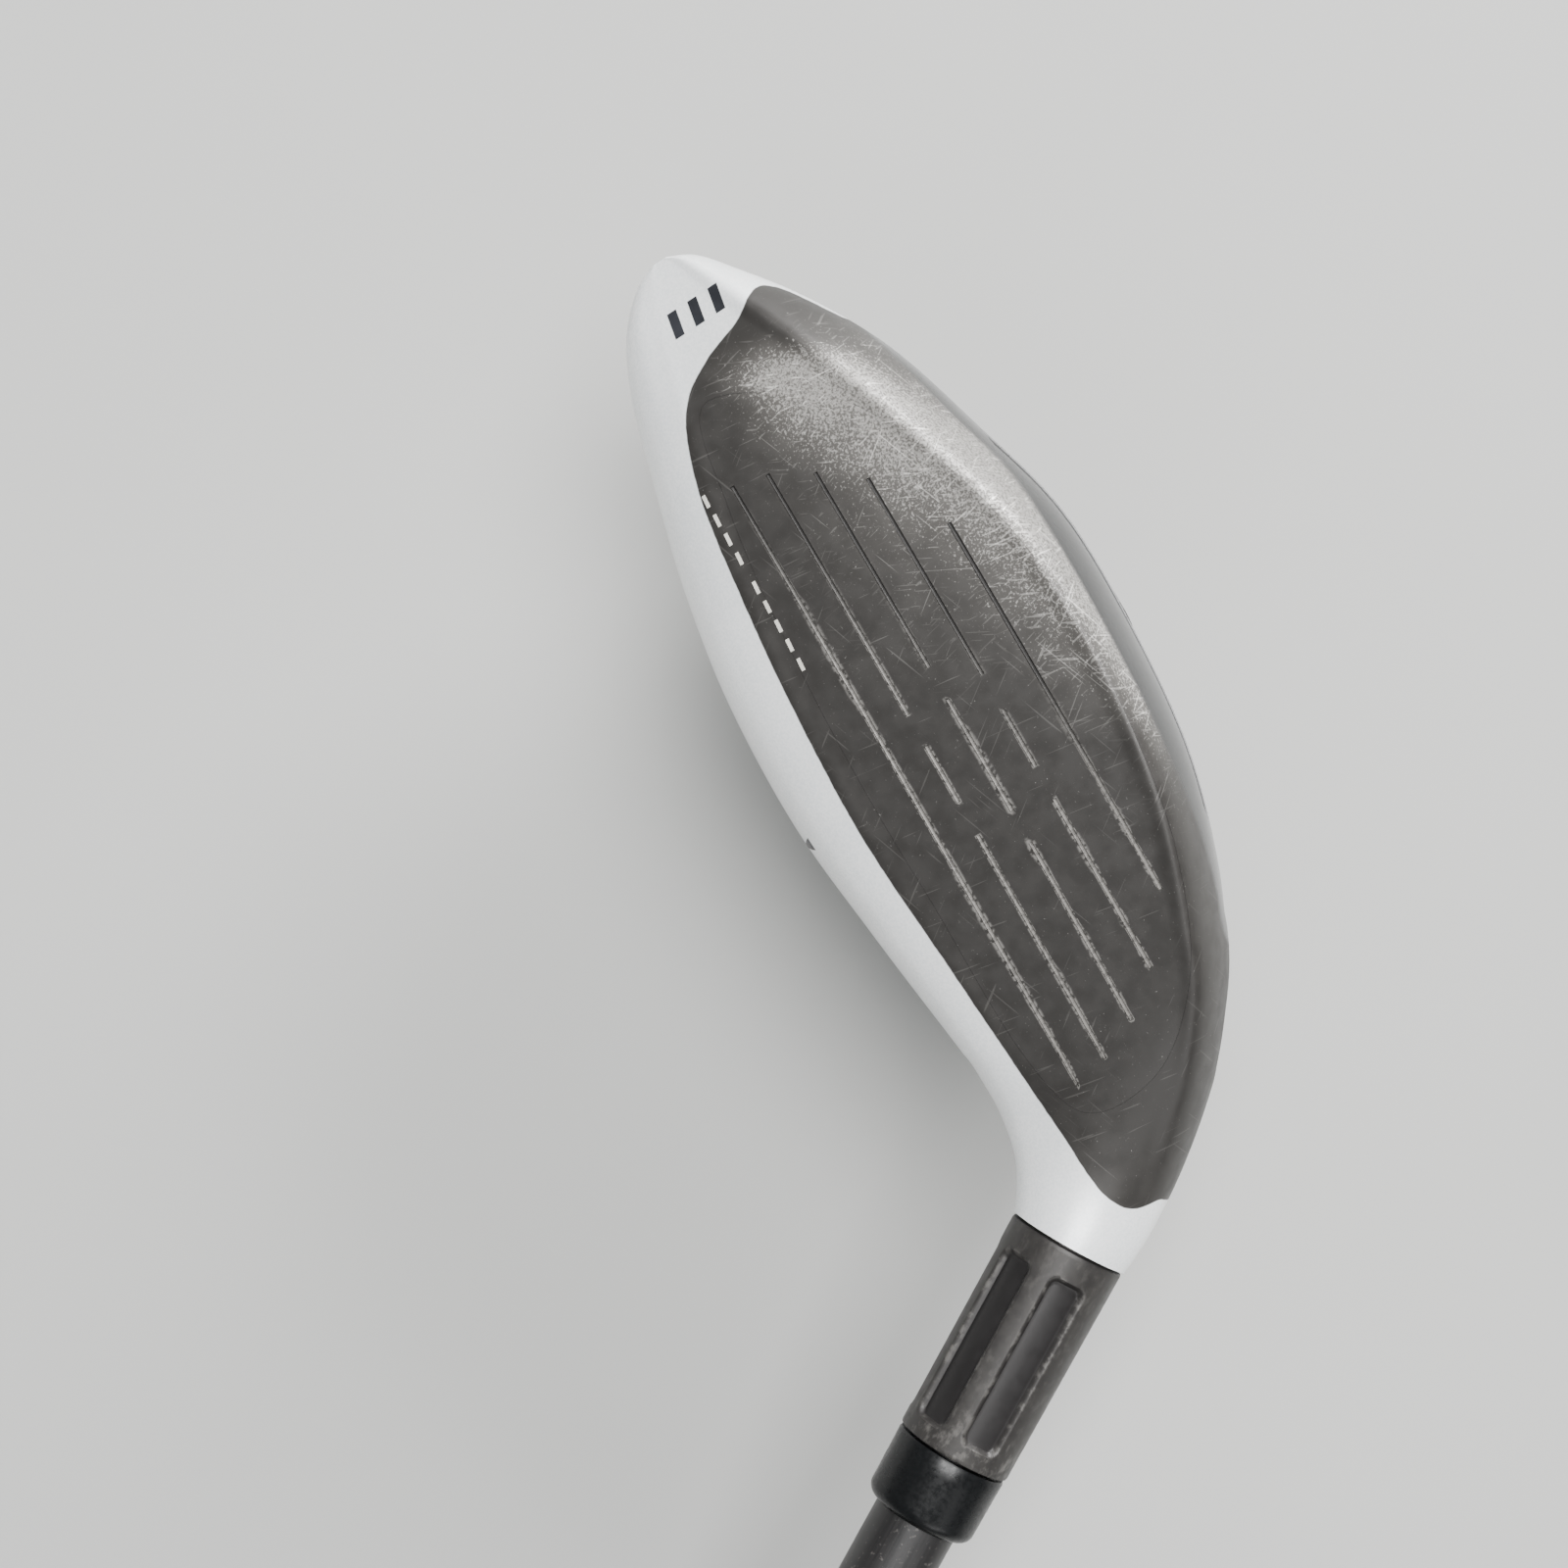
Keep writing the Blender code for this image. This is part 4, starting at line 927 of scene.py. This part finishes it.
class CLUB_OT_face(bpy.types.Operator):
    """Build the struck face with its score lines"""

    bl_idname = "club.face"
    bl_label = "Face"

    def execute(self, context):
        sizes = context.scene.club_sizes
        face = skin("struck_face", head_rings(sizes.head_steps, 8))
        seam = offset_outline(curve_through(FACE_SEAM, 12, closed=True), SEAM_GAP)
        cut(face, [prism("face_blank", seam, -FACE_REACH, 12.0, face_matrix())], "INTERSECT")
        radius = sizes.score_radius / MM
        finish = face_finish(context.scene.club_colours)
        runs = [
            [(x, face_depth(x, height) + SCORE_SUNK, height) for x in np.linspace(low, high, 28)]
            for height, low, high in score_strokes()
        ]
        bars = run_tree(edge_runs("score_bars", runs), bars_along_edges(), Radius=radius, Material=finish)
        cut(face, [bars])
        points = points_of(face)
        # this mask holds real rubbing mixed with painted sheen and a painted highlight on the leading edge
        store(face, "wear_and_sheen", ball_wear_and_sheen(points))
        closeness, worn = score_wear(points, radius)
        store(face, "score", closeness)
        store(face, "score_wear", worn)
        finish_piece(face, CLUB, "head", ("face_plate",), (finish,), 28.0)
        return {"FINISHED"}


def cast_rays(target, starts, direction):
    """Where each ray meets the object's surface, with the surface's normal."""
    mesh = target.data
    tree = BVHTree.FromPolygons([v.co for v in mesh.vertices], [p.vertices for p in mesh.polygons])
    return [tree.ray_cast(Vector(start), Vector(direction))[:2] for start in starts]


def printed_patch(corners, target, direction, lift=0.03, cells=6):
    """A thin printed patch that lies on the target's surface, between four corners."""
    a, b, c, d = (Vector(corner) for corner in corners)
    starts = []
    for i in range(cells + 1):
        for k in range(cells + 1):
            s, t = i / cells, k / cells
            starts.append(a * (1 - s) * (1 - t) + b * s * (1 - t) + c * s * t + d * (1 - s) * t)
    found = cast_rays(target, starts, direction)
    verts = [hit + normal * lift for hit, normal in found] + [hit - normal * lift for hit, normal in found]
    side = cells + 1
    faces = []
    for i in range(cells):
        for k in range(cells):
            n = i * side + k
            faces.append((n, n + 1, n + side + 1, n + side))
            faces.append(tuple(v + side * side for v in (n, n + side, n + side + 1, n + 1)))
    rim = [k for k in range(side)] + [i * side + cells for i in range(1, side)]
    rim += [cells * side + k for k in range(cells - 1, -1, -1)] + [i * side for i in range(cells - 1, 0, -1)]
    for n, m in zip(rim, rim[1:] + rim[:1]):
        faces.append((m, n, n + side * side, m + side * side))
    return verts, faces


def printed_marks(name, patches, target, direction, finish):
    verts, faces = [], []
    for corners in patches:
        more, shown = printed_patch(corners, target, direction)
        faces += [tuple(v + len(verts) for v in face) for face in shown]
        verts += more
    mark = shape(name, verts, faces)
    return finish_piece(mark, CLUB, "head", (), (finish,))


class CLUB_OT_marks(bpy.types.Operator):
    """Print the plain marks on the face's upper edge, the toe and the crown"""

    bl_idname = "club.marks"
    bl_label = "Printed marks"

    def execute(self, context):
        body = skin("marking_form", head_rings(6, 6))
        pale = moulded_finish("pale_print", "#B9B6AE", "#D3D0C8", 0.5, 0.4)
        dark = moulded_finish("dark_print", "#1B1C20", "#2A2B30", 0.4, 0.4)
        dashes = []
        for index in range(9):
            x = 14.0 + 2.35 * index + (1.2 if index > 4 else 0.0)
            dashes.append([(x, -40, 8.1), (x + 1.4, -40, 8.0), (x + 1.4, -40, 8.4), (x, -40, 8.5)])
        printed_marks("face_dashes", dashes, body, (0, 1, 0), pale)
        bars = []
        for index in range(3):
            z = 2.4 - 2.5 * index
            bars.append([(51.2, -40, z), (54.0, -40, z - 0.5), (54.0, -40, z - 1.6), (51.2, -40, z - 1.1)])
        printed_marks("toe_bars", bars, body, (0, 1, 0), dark)
        tick = [[(-3.2, 10.5, 60), (-1.6, 10.5, 60), (-2.1, 14.0, 60), (-2.7, 14.0, 60)]]
        printed_marks("crown_tick", tick, body, (0, 0, -1), dark)
        bpy.data.objects.remove(body, do_unlink=True)
        return {"FINISHED"}


class CLUB_OT_sole(bpy.types.Operator):
    """Build the sole's slot strip, pad, sliding weight, clamp nut and screw"""

    bl_idname = "club.sole"
    bl_label = "Sole fittings"

    def execute(self, context):
        polymer = moulded_finish("slot_polymer", "#1D1D1E", "#2A2A2B", 0.55, 0.3)
        steel = raw_steel_finish()
        strip = skin("slot_strip", head_rings(8, 8))
        inner = offset_outline(slot_outline(SLOT_CENTRE, SLOT_SIZE), SEAM_GAP)
        cut(strip, [prism("strip_blank", inner, SOLE_CUT_LOW, pad_height() + 4.5)], "INTERSECT")
        strip.data.transform(Matrix.Translation((0, 0, 0.12)))
        finish_piece(strip, CLUB, "head", ("sole_slot_filler",), (polymer,))

        low = pad_height()
        pad = bevel(prism("sole_rest_pad", slot_outline(PAD_CENTRE, PAD_SIZE), low, low + PAD_THICK), 0.25)
        pad_black = moulded_finish("pad_black", "#0E0E10", "#19191B", 0.3, 0.5)
        finish_piece(pad, CLUB, "head", ("sole_pad",), (pad_black,))

        floor = TRACK_RADIUS - RECESS_DEPTH + GAP
        weight = arc_block("weight_block", floor, WEIGHT_TOP, RECESS_WIDTH - 2 * GAP, WEIGHT_HALF_DEG)
        key_width = LIP_SLOT_WIDTH - 2 * GAP
        key = arc_block("key", floor - LIP_THICK, floor + 0.5, key_width, WEIGHT_HALF_DEG * 0.6, 8)
        cut(weight, [key], "UNION")
        seat = WEIGHT_TOP - SCREW_HEAD_HEIGHT
        thin, wide = SCREW_RADIUS + 0.25, SCREW_HEAD_RADIUS + GAP
        bore = [(0.01, -80), (thin, -80), (thin, -seat), (wide, -seat), (wide, -104), (0.01, -104)]
        hole = lathe("hole", bore, 64)
        grooves = []
        for side in (-1, 1):
            groove = arc_block("groove", TRACK_RADIUS - 0.8, TRACK_RADIUS + 2, 0.8, WEIGHT_HALF_DEG + 1)
            groove.data.transform(Matrix.Translation((0, side * 4.9, 0)))
            grooves.append(groove)
        cut(weight, [hole, *grooves])
        bevel(weight, 0.22, 2)
        finish_piece(weight, TRACK, "weight", ("sliding_weight",), (steel,))

        top = TRACK_RADIUS - RECESS_DEPTH - LIP_THICK - GAP
        nut = arc_block("clamp_plate", top - NUT_THICK, top, CHAMBER_WIDTH - 4 * GAP, NUT_HALF_DEG, 12)
        cut(nut, [lathe("nut_hole", [(0.01, -80), (2.15, -80), (2.15, -100), (0.01, -100)], 48)])
        bevel(nut, 0.25, 2)
        finish_piece(nut, TRACK, "clamp_nut", ("weight_nut",), (steel,))

        under, crest, tip = seat + GAP, TRACK_RADIUS - 0.5, top - NUT_THICK - 0.2
        body, rim = SCREW_RADIUS, SCREW_HEAD_RADIUS
        profile = [(0.01, -tip), (body - 0.3, -tip), (body, -tip - 0.3)]
        height = tip + 0.3
        while height < under - 1.2:
            profile += [(body, -height), (body - 0.2, -height - 0.17), (body, -height - 0.35)]
            height += 0.35
        profile += [(body, -under), (rim - 0.2, -under), (rim, -under - 0.2)]
        profile += [(rim, -crest + 0.3), (rim - 0.3, -crest), (0.01, -crest)]
        screw = lathe("clamp_screw_piece", profile, 48)
        socket = [
            (SCREW_SOCKET_RADIUS * math.cos(math.pi * k / 3), SCREW_SOCKET_RADIUS * math.sin(math.pi * k / 3))
            for k in range(6)
        ]
        cut(screw, [prism("hex", socket, -crest - 1, -crest + 1.4)])
        finish_piece(screw, TRACK, "clamp_screw", ("weight_screw",), (steel,))
        return {"FINISHED"}


# ---------------------------------------------------------------- hosel, shaft and grip


def box_distance(along, around, half_length, half_width, radius):
    """Signed distance to a rectangle with rounded corners, negative inside."""
    qx = np.abs(along) - half_length + radius
    qy = np.abs(around) - half_width + radius
    outside = np.hypot(np.maximum(qx, 0), np.maximum(qy, 0))
    return outside + np.minimum(np.maximum(qx, qy), 0) - radius


def pocket_distance(points):
    """Signed distance to the nearest pocket's outline, negative inside."""
    angle = np.arctan2(points[:, 0], points[:, 1])
    nearest = np.full(len(points), 9.0)
    for turn in POCKET_TURNS:
        around = (angle - math.radians(turn) + math.pi) % (2 * math.pi) - math.pi
        along = points[:, 2] - POCKET_MIDDLE
        distance = box_distance(along, around * SLEEVE_RADIUS, *POCKET_HALF, POCKET_ROUND)
        nearest = np.minimum(nearest, distance)
    return nearest


class CLUB_OT_sleeve(bpy.types.Operator):
    """Build the loft sleeve with its recessed pockets and splined end"""

    bl_idname = "club.sleeve"
    bl_label = "Loft sleeve"

    def execute(self, context):
        sizes = context.scene.club_sizes
        low, insert, spline = GAP, HOSEL_BORE_RADIUS - RUN_GAP, SPLINE_BORE_RADIUS - RUN_GAP
        shoulder, bottom, floor = -HOSEL_BORE_DEPTH + GAP, -SLEEVE_DEPTH, -6.3
        thread, inner = BOLT_RADIUS + RUN_GAP, BOND_RADIUS
        shown = np.linspace(SLEEVE_TOP - 0.25, low + 0.35, 104)
        profile = [(SLEEVE_TOP_RADIUS - 0.25, SLEEVE_TOP), (SLEEVE_TOP_RADIUS - 0.06, SLEEVE_TOP - 0.08)]
        share = (SLEEVE_TOP - shown) / (SLEEVE_TOP - low)
        profile += list(zip(SLEEVE_TOP_RADIUS + (SLEEVE_RADIUS - SLEEVE_TOP_RADIUS) * share, shown))
        profile += [
            (SLEEVE_RADIUS - 0.08, low + 0.1), (SLEEVE_RADIUS - 0.3, low), (insert, low), (insert, low - 0.2),
            (insert, shoulder + 0.4), (insert - 0.4, shoulder), (spline, shoulder), (spline, bottom + 0.4),
            (spline - 0.4, bottom), (thread, bottom), (thread, floor), (inner, floor), (inner, SLEEVE_TOP),
        ]
        sleeve = lathe("sleeve_body", profile, 240, looped=True)
        points = points_of(sleeve).astype(np.float64)
        radius = np.hypot(points[:, 0], points[:, 1])
        outer = (radius > 5.9) & (points[:, 2] > low + 0.05)
        sunk = np.clip(0.5 - pocket_distance(points) / 0.55, 0, 1)
        sunk = sunk * sunk * (3 - 2 * sunk) * outer
        scale = 1 - sizes.pocket_depth / MM * sunk / np.maximum(radius, 1e-6)
        points[:, :2] *= scale[:, None]
        sleeve.data.vertices.foreach_set("co", points.astype(np.float32).ravel())
        blanks = []
        for index in range(12):
            block = prism("spline", [(-1, -0.6), (1, -0.6), (1, 0.6), (-1, 0.6)], bottom - 2, bottom + 6)
            reach = Matrix.Translation((spline + 0.5, 0, 0))
            block.data.transform(Matrix.Rotation(math.pi * index / 6, 4, "Z") @ reach)
            blanks.append(block)
        cut(sleeve, blanks)
        after = points_of(sleeve)
        nearest = pocket_distance(after)
        on_shown = after[:, 2] > low
        store(sleeve, "pocket", np.clip(0.4 - nearest / 0.5, 0, 1) * on_shown)
        store(sleeve, "pocket_rim", np.clip(1 - np.abs(nearest - 0.15) / 0.35, 0, 1) * on_shown)
        upper = np.clip((after[:, 2] - 19.5) / 5.0, 0, 1)
        store(sleeve, "rub", (0.25 + 0.75 * upper) * np.clip(nearest / 0.4, 0, 1) * on_shown)
        finish = anodised_finish()
        finish_piece(sleeve, AXIS, "shaft_unit", ("loft_sleeve",), (finish,), 40.0)
        return {"FINISHED"}


class CLUB_OT_bolt(bpy.types.Operator):
    """Build the hosel bolt, its washer and its retaining ring"""

    bl_idname = "club.bolt"
    bl_label = "Hosel bolt"

    def execute(self, context):
        steel = raw_steel_finish()
        top = SEAT_LOW - GAP
        low, bore = top - WASHER_THICK, BOLT_RADIUS + RUN_GAP
        washer = lathe("seat_washer", [
            (3.8, top), (4.45, top - 0.3), (4.7, top - 0.55), (4.7, low + 0.2), (4.45, low),
            (bore + 0.1, low), (bore, low + 0.1), (bore, top - 0.1), (bore + 0.1, top),
        ], 96, looped=True)
        finish_piece(washer, AXIS, "washer", ("bolt_washer",), (steel,))

        head_top = low - RUN_GAP
        head_low = head_top - BOLT_HEAD_HEIGHT
        body, rim, height = BOLT_RADIUS, BOLT_HEAD_RADIUS, BOLT_TIP - 0.4
        profile = [(0.01, BOLT_TIP), (body - 0.5, BOLT_TIP), (body, height)]
        while height > -SLEEVE_DEPTH:
            profile += [(body, height - 0.1), (body - 0.35, height - 0.4), (body, height - 0.7)]
            height -= BOLT_PITCH
        profile += [
            (body, head_top), (rim - 0.2, head_top), (rim, head_top - 0.2), (rim, head_low + 0.5),
            (rim - 0.3, head_low + 0.12), (rim - 0.7, head_low), (0.01, head_low),
        ]
        bolt = lathe("bolt_body", profile, 64)
        star = []
        for k in range(72):
            reach = 2.0 + 0.22 * math.cos(6 * 2 * math.pi * k / 72)
            star.append((reach * math.cos(2 * math.pi * k / 72), reach * math.sin(2 * math.pi * k / 72)))
        cut(bolt, [prism("star", star, head_low - 1, head_low + 2.2)])
        finish_piece(bolt, AXIS, "bolt", ("hosel_bolt",), (steel,))

        ring_top = -SLEEVE_DEPTH - 2 * GAP
        ring = lathe("retaining_ring", [
            (4.45, ring_top), (4.65, ring_top - 0.2), (4.65, ring_top - 1.0), (4.45, ring_top - 1.2),
            (2.8, ring_top - 1.2), (bore, ring_top - 1.05), (bore, ring_top - 0.15), (2.8, ring_top),
        ], 72, looped=True)
        polymer = moulded_finish("ring_polymer", "#C9C5B8", "#DAD6CA", 0.5, 0.4)
        finish_piece(ring, AXIS, "head", ("bolt_retainer",), (polymer,))
        return {"FINISHED"}


def shaft_radius(height):
    share = min(1.0, max(0.0, (height - SHAFT_PARALLEL) / (GRIP_MIDDLE - SHAFT_PARALLEL)))
    return SHAFT_TIP_RADIUS + (SHAFT_BUTT_RADIUS - SHAFT_TIP_RADIUS) * share


class CLUB_OT_shaft(bpy.types.Operator):
    """Build the ferrule, the graphite shaft and the plug in its tip"""

    bl_idname = "club.shaft"
    bl_label = "Ferrule and shaft"

    def execute(self, context):
        sizes = context.scene.club_sizes
        low, top, inner = SLEEVE_TOP + GAP, FERRULE_TOP, BOND_RADIUS
        outer = sizes.ferrule_radius / MM
        crown = [
            (outer - 1.4 + 1.4 * math.sin(math.radians(a)), top - 1.4 + 1.4 * math.cos(math.radians(a)))
            for a in range(0, 91, 9)
        ]
        ferrule = lathe("ferrule_collar", [
            (inner + 0.25, top), *crown, (outer + 0.05, low + 2.0), (outer + 0.10, low + 0.3),
            (outer - 0.05, low), (inner, low), (inner, top - 0.2),
        ], 128, looped=True)
        black = moulded_finish("ferrule_black", "#060708", "#0A0B0C", 0.32, 0.5)
        finish_piece(ferrule, AXIS, "shaft_unit", ("ferrule",), (black,))

        tip, end = -6.0, BUTT - CAP_THICK - GAP
        heights = [*np.linspace(end - 0.3, SHAFT_PARALLEL, 60)]
        heights += [*np.linspace(SHAFT_PARALLEL - 2, tip + 0.4, 24)]
        outline = [(shaft_radius(end) - 0.3, end)]
        outline += [(shaft_radius(z), z) for z in heights]
        outline += [(SHAFT_TIP_RADIUS - 0.4, tip), (SHAFT_TIP_RADIUS - SHAFT_WALL, tip)]
        outline += [(shaft_radius(z) - SHAFT_WALL, z) for z in reversed(heights[::6])]
        outline += [(shaft_radius(end) - SHAFT_WALL, end)]
        shaft = lathe("shaft_tube", outline, 72, looped=True)
        finish_piece(shaft, AXIS, "shaft_unit", ("shaft",), (graphite_finish(),))

        bore = SHAFT_TIP_RADIUS - SHAFT_WALL - RUN_GAP
        plug = lathe("tip_plug", [
            (0.01, tip + 11), (bore - 0.5, tip + 11), (bore - 0.1, tip + 10.7), (bore, tip + 10.2),
            (bore, tip + 2.8), (bore - 0.1, tip + 2.3), (bore - 0.5, tip + 2), (0.01, tip + 2),
        ], 48)
        foam = moulded_finish("plug_polymer", "#3B3A38", "#4C4A47", 0.7, 0.5)
        finish_piece(plug, AXIS, "shaft_unit", ("shaft_tip_plug",), (foam,))
        return {"FINISHED"}


def grip_profile():
    """The grip's outer line, mouth to butt, as a height and a radius."""
    mouth, top = GRIP_MOUTH, GRIP_TOP
    wall = shaft_radius(mouth) + 0.65
    keys = [
        (mouth, wall + 1.14), (mouth + 6.0, wall + 1.9), (top - 200.0, 10.3), (top - 130.0, 11.3),
        (top - 60.0, 12.1), (top - 14.0, 13.1), (top - 6.0, 13.4), (top, 11.9),
    ]
    return curve_through(keys, 10, closed=False)


class CLUB_OT_grip(bpy.types.Operator):
    """Build the rubber grip, its pattern, its cap and the tape under it"""

    bl_idname = "club.grip"
    bl_label = "Grip"

    def execute(self, context):
        sizes = context.scene.club_sizes
        rubber = moulded_finish("grip_rubber", "#1B1B1C", "#262627", 0.78, 0.5, 0.06)
        mouth, top = GRIP_MOUTH, GRIP_TOP
        outer = grip_profile()
        line = tuple(zip(*outer))
        profile = [(radius, height) for height, radius in reversed(outer)]
        for ring in (9.0, 12.0, 15.0):
            for depth, shift in ((0, 0.55), (0.4, 0.2), (0.4, -0.2), (0, -0.55)):
                height = mouth + ring + shift
                radius = np.interp(height, *line)
                profile.append((radius - depth, height))
        profile.sort(key=lambda point: -point[1])
        profile += [(shaft_radius(z) + 0.65, z) for z in (mouth, GRIP_MIDDLE, top)]
        grip = lathe("grip_sleeve", profile, 96, looped=True)
        finish_piece(grip, AXIS, "shaft_unit", ("grip",), (rubber,))

        verts, out = [], []
        rows = np.arange(mouth + 22.0, top - 22.0, sizes.pip_pitch / MM)
        for row, height in enumerate(rows):
            if int((height - mouth) / 30.0) % 2 and (row % 3 == 0):
                continue
            radius = float(np.interp(height, *line))
            for k in range(30):
                turn = 2 * math.pi * (k + 0.5 * (row % 2)) / 30
                verts.append((radius * math.cos(turn), radius * math.sin(turn), float(height)))
                out.append((math.cos(turn), math.sin(turn), 0.0))
        points = bpy.data.meshes.new("grip_pips")
        points.from_pydata(verts, [], [])
        layer = points.attributes.new("out", "FLOAT_VECTOR", "POINT")
        layer.data.foreach_set("vector", np.array(out, np.float32).ravel())
        pips = bpy.data.objects.new("grip_pips", points)
        context.scene.collection.objects.link(pips)
        run_tree(pips, pips_on_points(), Size=(0.42, 0.85, 0.22), Material=rubber)
        finish_piece(pips, AXIS, "shaft_unit", (), (rubber,))

        cap = lathe("cap_disc", [
            (1.8, BUTT - 0.25), (2.1, BUTT), (9.6, BUTT), (10.3, BUTT - 0.1), (11.1, BUTT - 0.45),
            (11.6, BUTT - 1.0), (11.85, BUTT - 2.0), (11.9, top + GAP), (1.8, top + GAP),
        ], 96, looped=True)
        cap_rubber = moulded_finish("cap_rubber", "#202022", "#2B2B2E", 0.6, 0.4)
        finish_piece(cap, AXIS, "shaft_unit", ("grip_cap",), (cap_rubber,))

        heights = (top - 1.0, GRIP_MIDDLE, mouth + 6.0)
        wrap = [(shaft_radius(z) + 0.5, z) for z in heights]
        wrap += [(shaft_radius(z) + 0.15, z) for z in reversed(heights)]
        tape = lathe("tape_wrap", wrap, 64, looped=True)
        paper = moulded_finish("tape_paper", "#B7A683", "#CBBB98", 0.85, 0.8, 0.05)
        finish_piece(tape, AXIS, "shaft_unit", ("grip_tape",), (paper,))
        return {"FINISHED"}


# ---------------------------------------------------------------- stage


def area_light(name, place, target, size, power):
    data = bpy.data.lights.new(name, "AREA")
    data.shape = "RECTANGLE"
    data.size, data.size_y = size
    data.energy = power
    lamp = bpy.data.objects.new(name, data)
    bpy.context.scene.collection.objects.link(lamp)
    lamp.location = place
    lamp.rotation_euler = (target - place).to_track_quat("-Z", "Y").to_euler()


class CLUB_OT_stage(bpy.types.Operator):
    """Add the pale floor, the soft lights and the camera"""

    bl_idname = "club.stage"
    bl_label = "Stage"

    def execute(self, context):
        sizes = context.scene.club_sizes
        corners = [(x, y, -0.0005) for x, y in ((-4, -4), (4, -4), (4, 4), (-4, 4))]
        floor = shape("floor", corners, [(0, 1, 2, 3)])
        floor.data.materials.append(floor_finish())
        world = bpy.data.worlds.new("soft_studio")
        world.use_nodes = True
        sky = world.node_tree.nodes["Background"].inputs
        sky["Color"].default_value = (*srgb("#E8ECEE"), 1.0)
        sky["Strength"].default_value = 0.40
        context.scene.world = world

        face = CLUB @ Vector((4.7, 0.0, 0.0))
        toe, back, up = (CLUB.to_3x3().normalized().col[k].copy() for k in range(3))
        for name, ahead, below, toeward, size, power in (
            ("key", 1.2, 0.25, 0.15, (0.7, 0.7), sizes.key_power),
            ("sole_side", 0.36, 0.9, 0.45, (0.5, 0.5), 26.0),
            ("heel_side", 0.7, -0.3, -0.9, (0.8, 0.5), 4.0),
        ):
            area_light(name, face - back * ahead - up * below + toe * toeward, face, size, power)

        eye = CLUB @ Vector((4.7, -sizes.camera_distance / MM, 16.1))
        right = toe * -0.501 + up * -0.865
        above = toe * 0.865 + up * -0.501
        data = bpy.data.cameras.new("camera")
        data.lens = sizes.camera_lens
        data.sensor_width = 36.0
        data.clip_start = 0.01
        camera = bpy.data.objects.new("camera", data)
        context.scene.collection.objects.link(camera)
        camera.matrix_world = Matrix.Translation(eye) @ Matrix((right, above, -back)).transposed().to_4x4()
        context.scene.camera = camera
        return {"FINISHED"}


# ---------------------------------------------------------------- add-on


def length(name, description, default):
    """A length that the panel shows in the scene's unit, from a default in millimetres."""
    return FloatProperty(name=name, description=description, default=default * MM, unit="LENGTH", precision=5)


def tint(name, description, code):
    return FloatVectorProperty(
        name=name, description=description, default=srgb(code), subtype="COLOR", size=3
    )


class ClubSizes(bpy.types.PropertyGroup):
    head_steps: IntProperty(
        name="Head steps", description="Sections between two of the head's lines", default=8, min=2, max=16
    )
    score_radius: length("Score line radius", "Half the width of a score line", SCORE_RADIUS)
    pocket_depth: length("Pocket depth", "Depth of the sleeve's pockets", 0.7)
    ferrule_radius: length("Ferrule radius", "Outer radius of the ferrule", 6.25)
    pip_pitch: length("Pip pitch", "Distance between rows of pips on the grip", 3.0)
    camera_distance: length("Camera distance", "From the face's centre plane to the camera", 300.5)
    camera_lens: FloatProperty(name="Lens", description="Focal length", default=66.26, unit="CAMERA")
    key_power: FloatProperty(
        name="Key light", description="Power of the key light", default=32.0, unit="POWER"
    )


class ClubColours(bpy.types.PropertyGroup):
    silver: tint("Silver paint", "Light flakes of the paint on the crown, toe and hosel", "#FCFDFD")
    silver_shade: tint("Silver paint's shade", "Ground between the paint's flakes", "#EDF0F1")
    # lighter rubbed tone of the coating: partly real wear, partly a painted sheen
    rubbed: tint("Rubbed coating", "The face's dark coating where balls have rubbed it", "#6A6763")
    bare: tint("Bare metal", "Steel that shows in scratches and specks", "#CFCCC7")


class CLUB_PT_panel(bpy.types.Panel):
    bl_label = "Hybrid golf club"
    bl_idname = "CLUB_PT_panel"
    bl_space_type = "VIEW_3D"
    bl_region_type = "UI"
    bl_category = "Golf club"

    def draw(self, context):
        for name in ClubSizes.__annotations__:
            self.layout.prop(context.scene.club_sizes, name)
        for name in ClubColours.__annotations__:
            self.layout.prop(context.scene.club_colours, name)
        for operator in STEPS:
            self.layout.operator(operator.bl_idname)


STEPS = (
    CLUB_OT_stage, CLUB_OT_head, CLUB_OT_face, CLUB_OT_marks, CLUB_OT_sole, CLUB_OT_sleeve, CLUB_OT_bolt,
    CLUB_OT_shaft, CLUB_OT_grip,
)
CLASSES = (ClubSizes, ClubColours, CLUB_PT_panel, *STEPS)


def register():
    for item in CLASSES:
        bpy.utils.register_class(item)
    bpy.types.Scene.club_sizes = PointerProperty(type=ClubSizes)
    bpy.types.Scene.club_colours = PointerProperty(type=ClubColours)


def unregister():
    del bpy.types.Scene.club_colours
    del bpy.types.Scene.club_sizes
    for item in reversed(CLASSES):
        bpy.utils.unregister_class(item)


def main():
    register()
    for step in STEPS:
        getattr(bpy.ops.club, step.bl_idname.split(".")[1])()


if __name__ == "__main__":
    main()
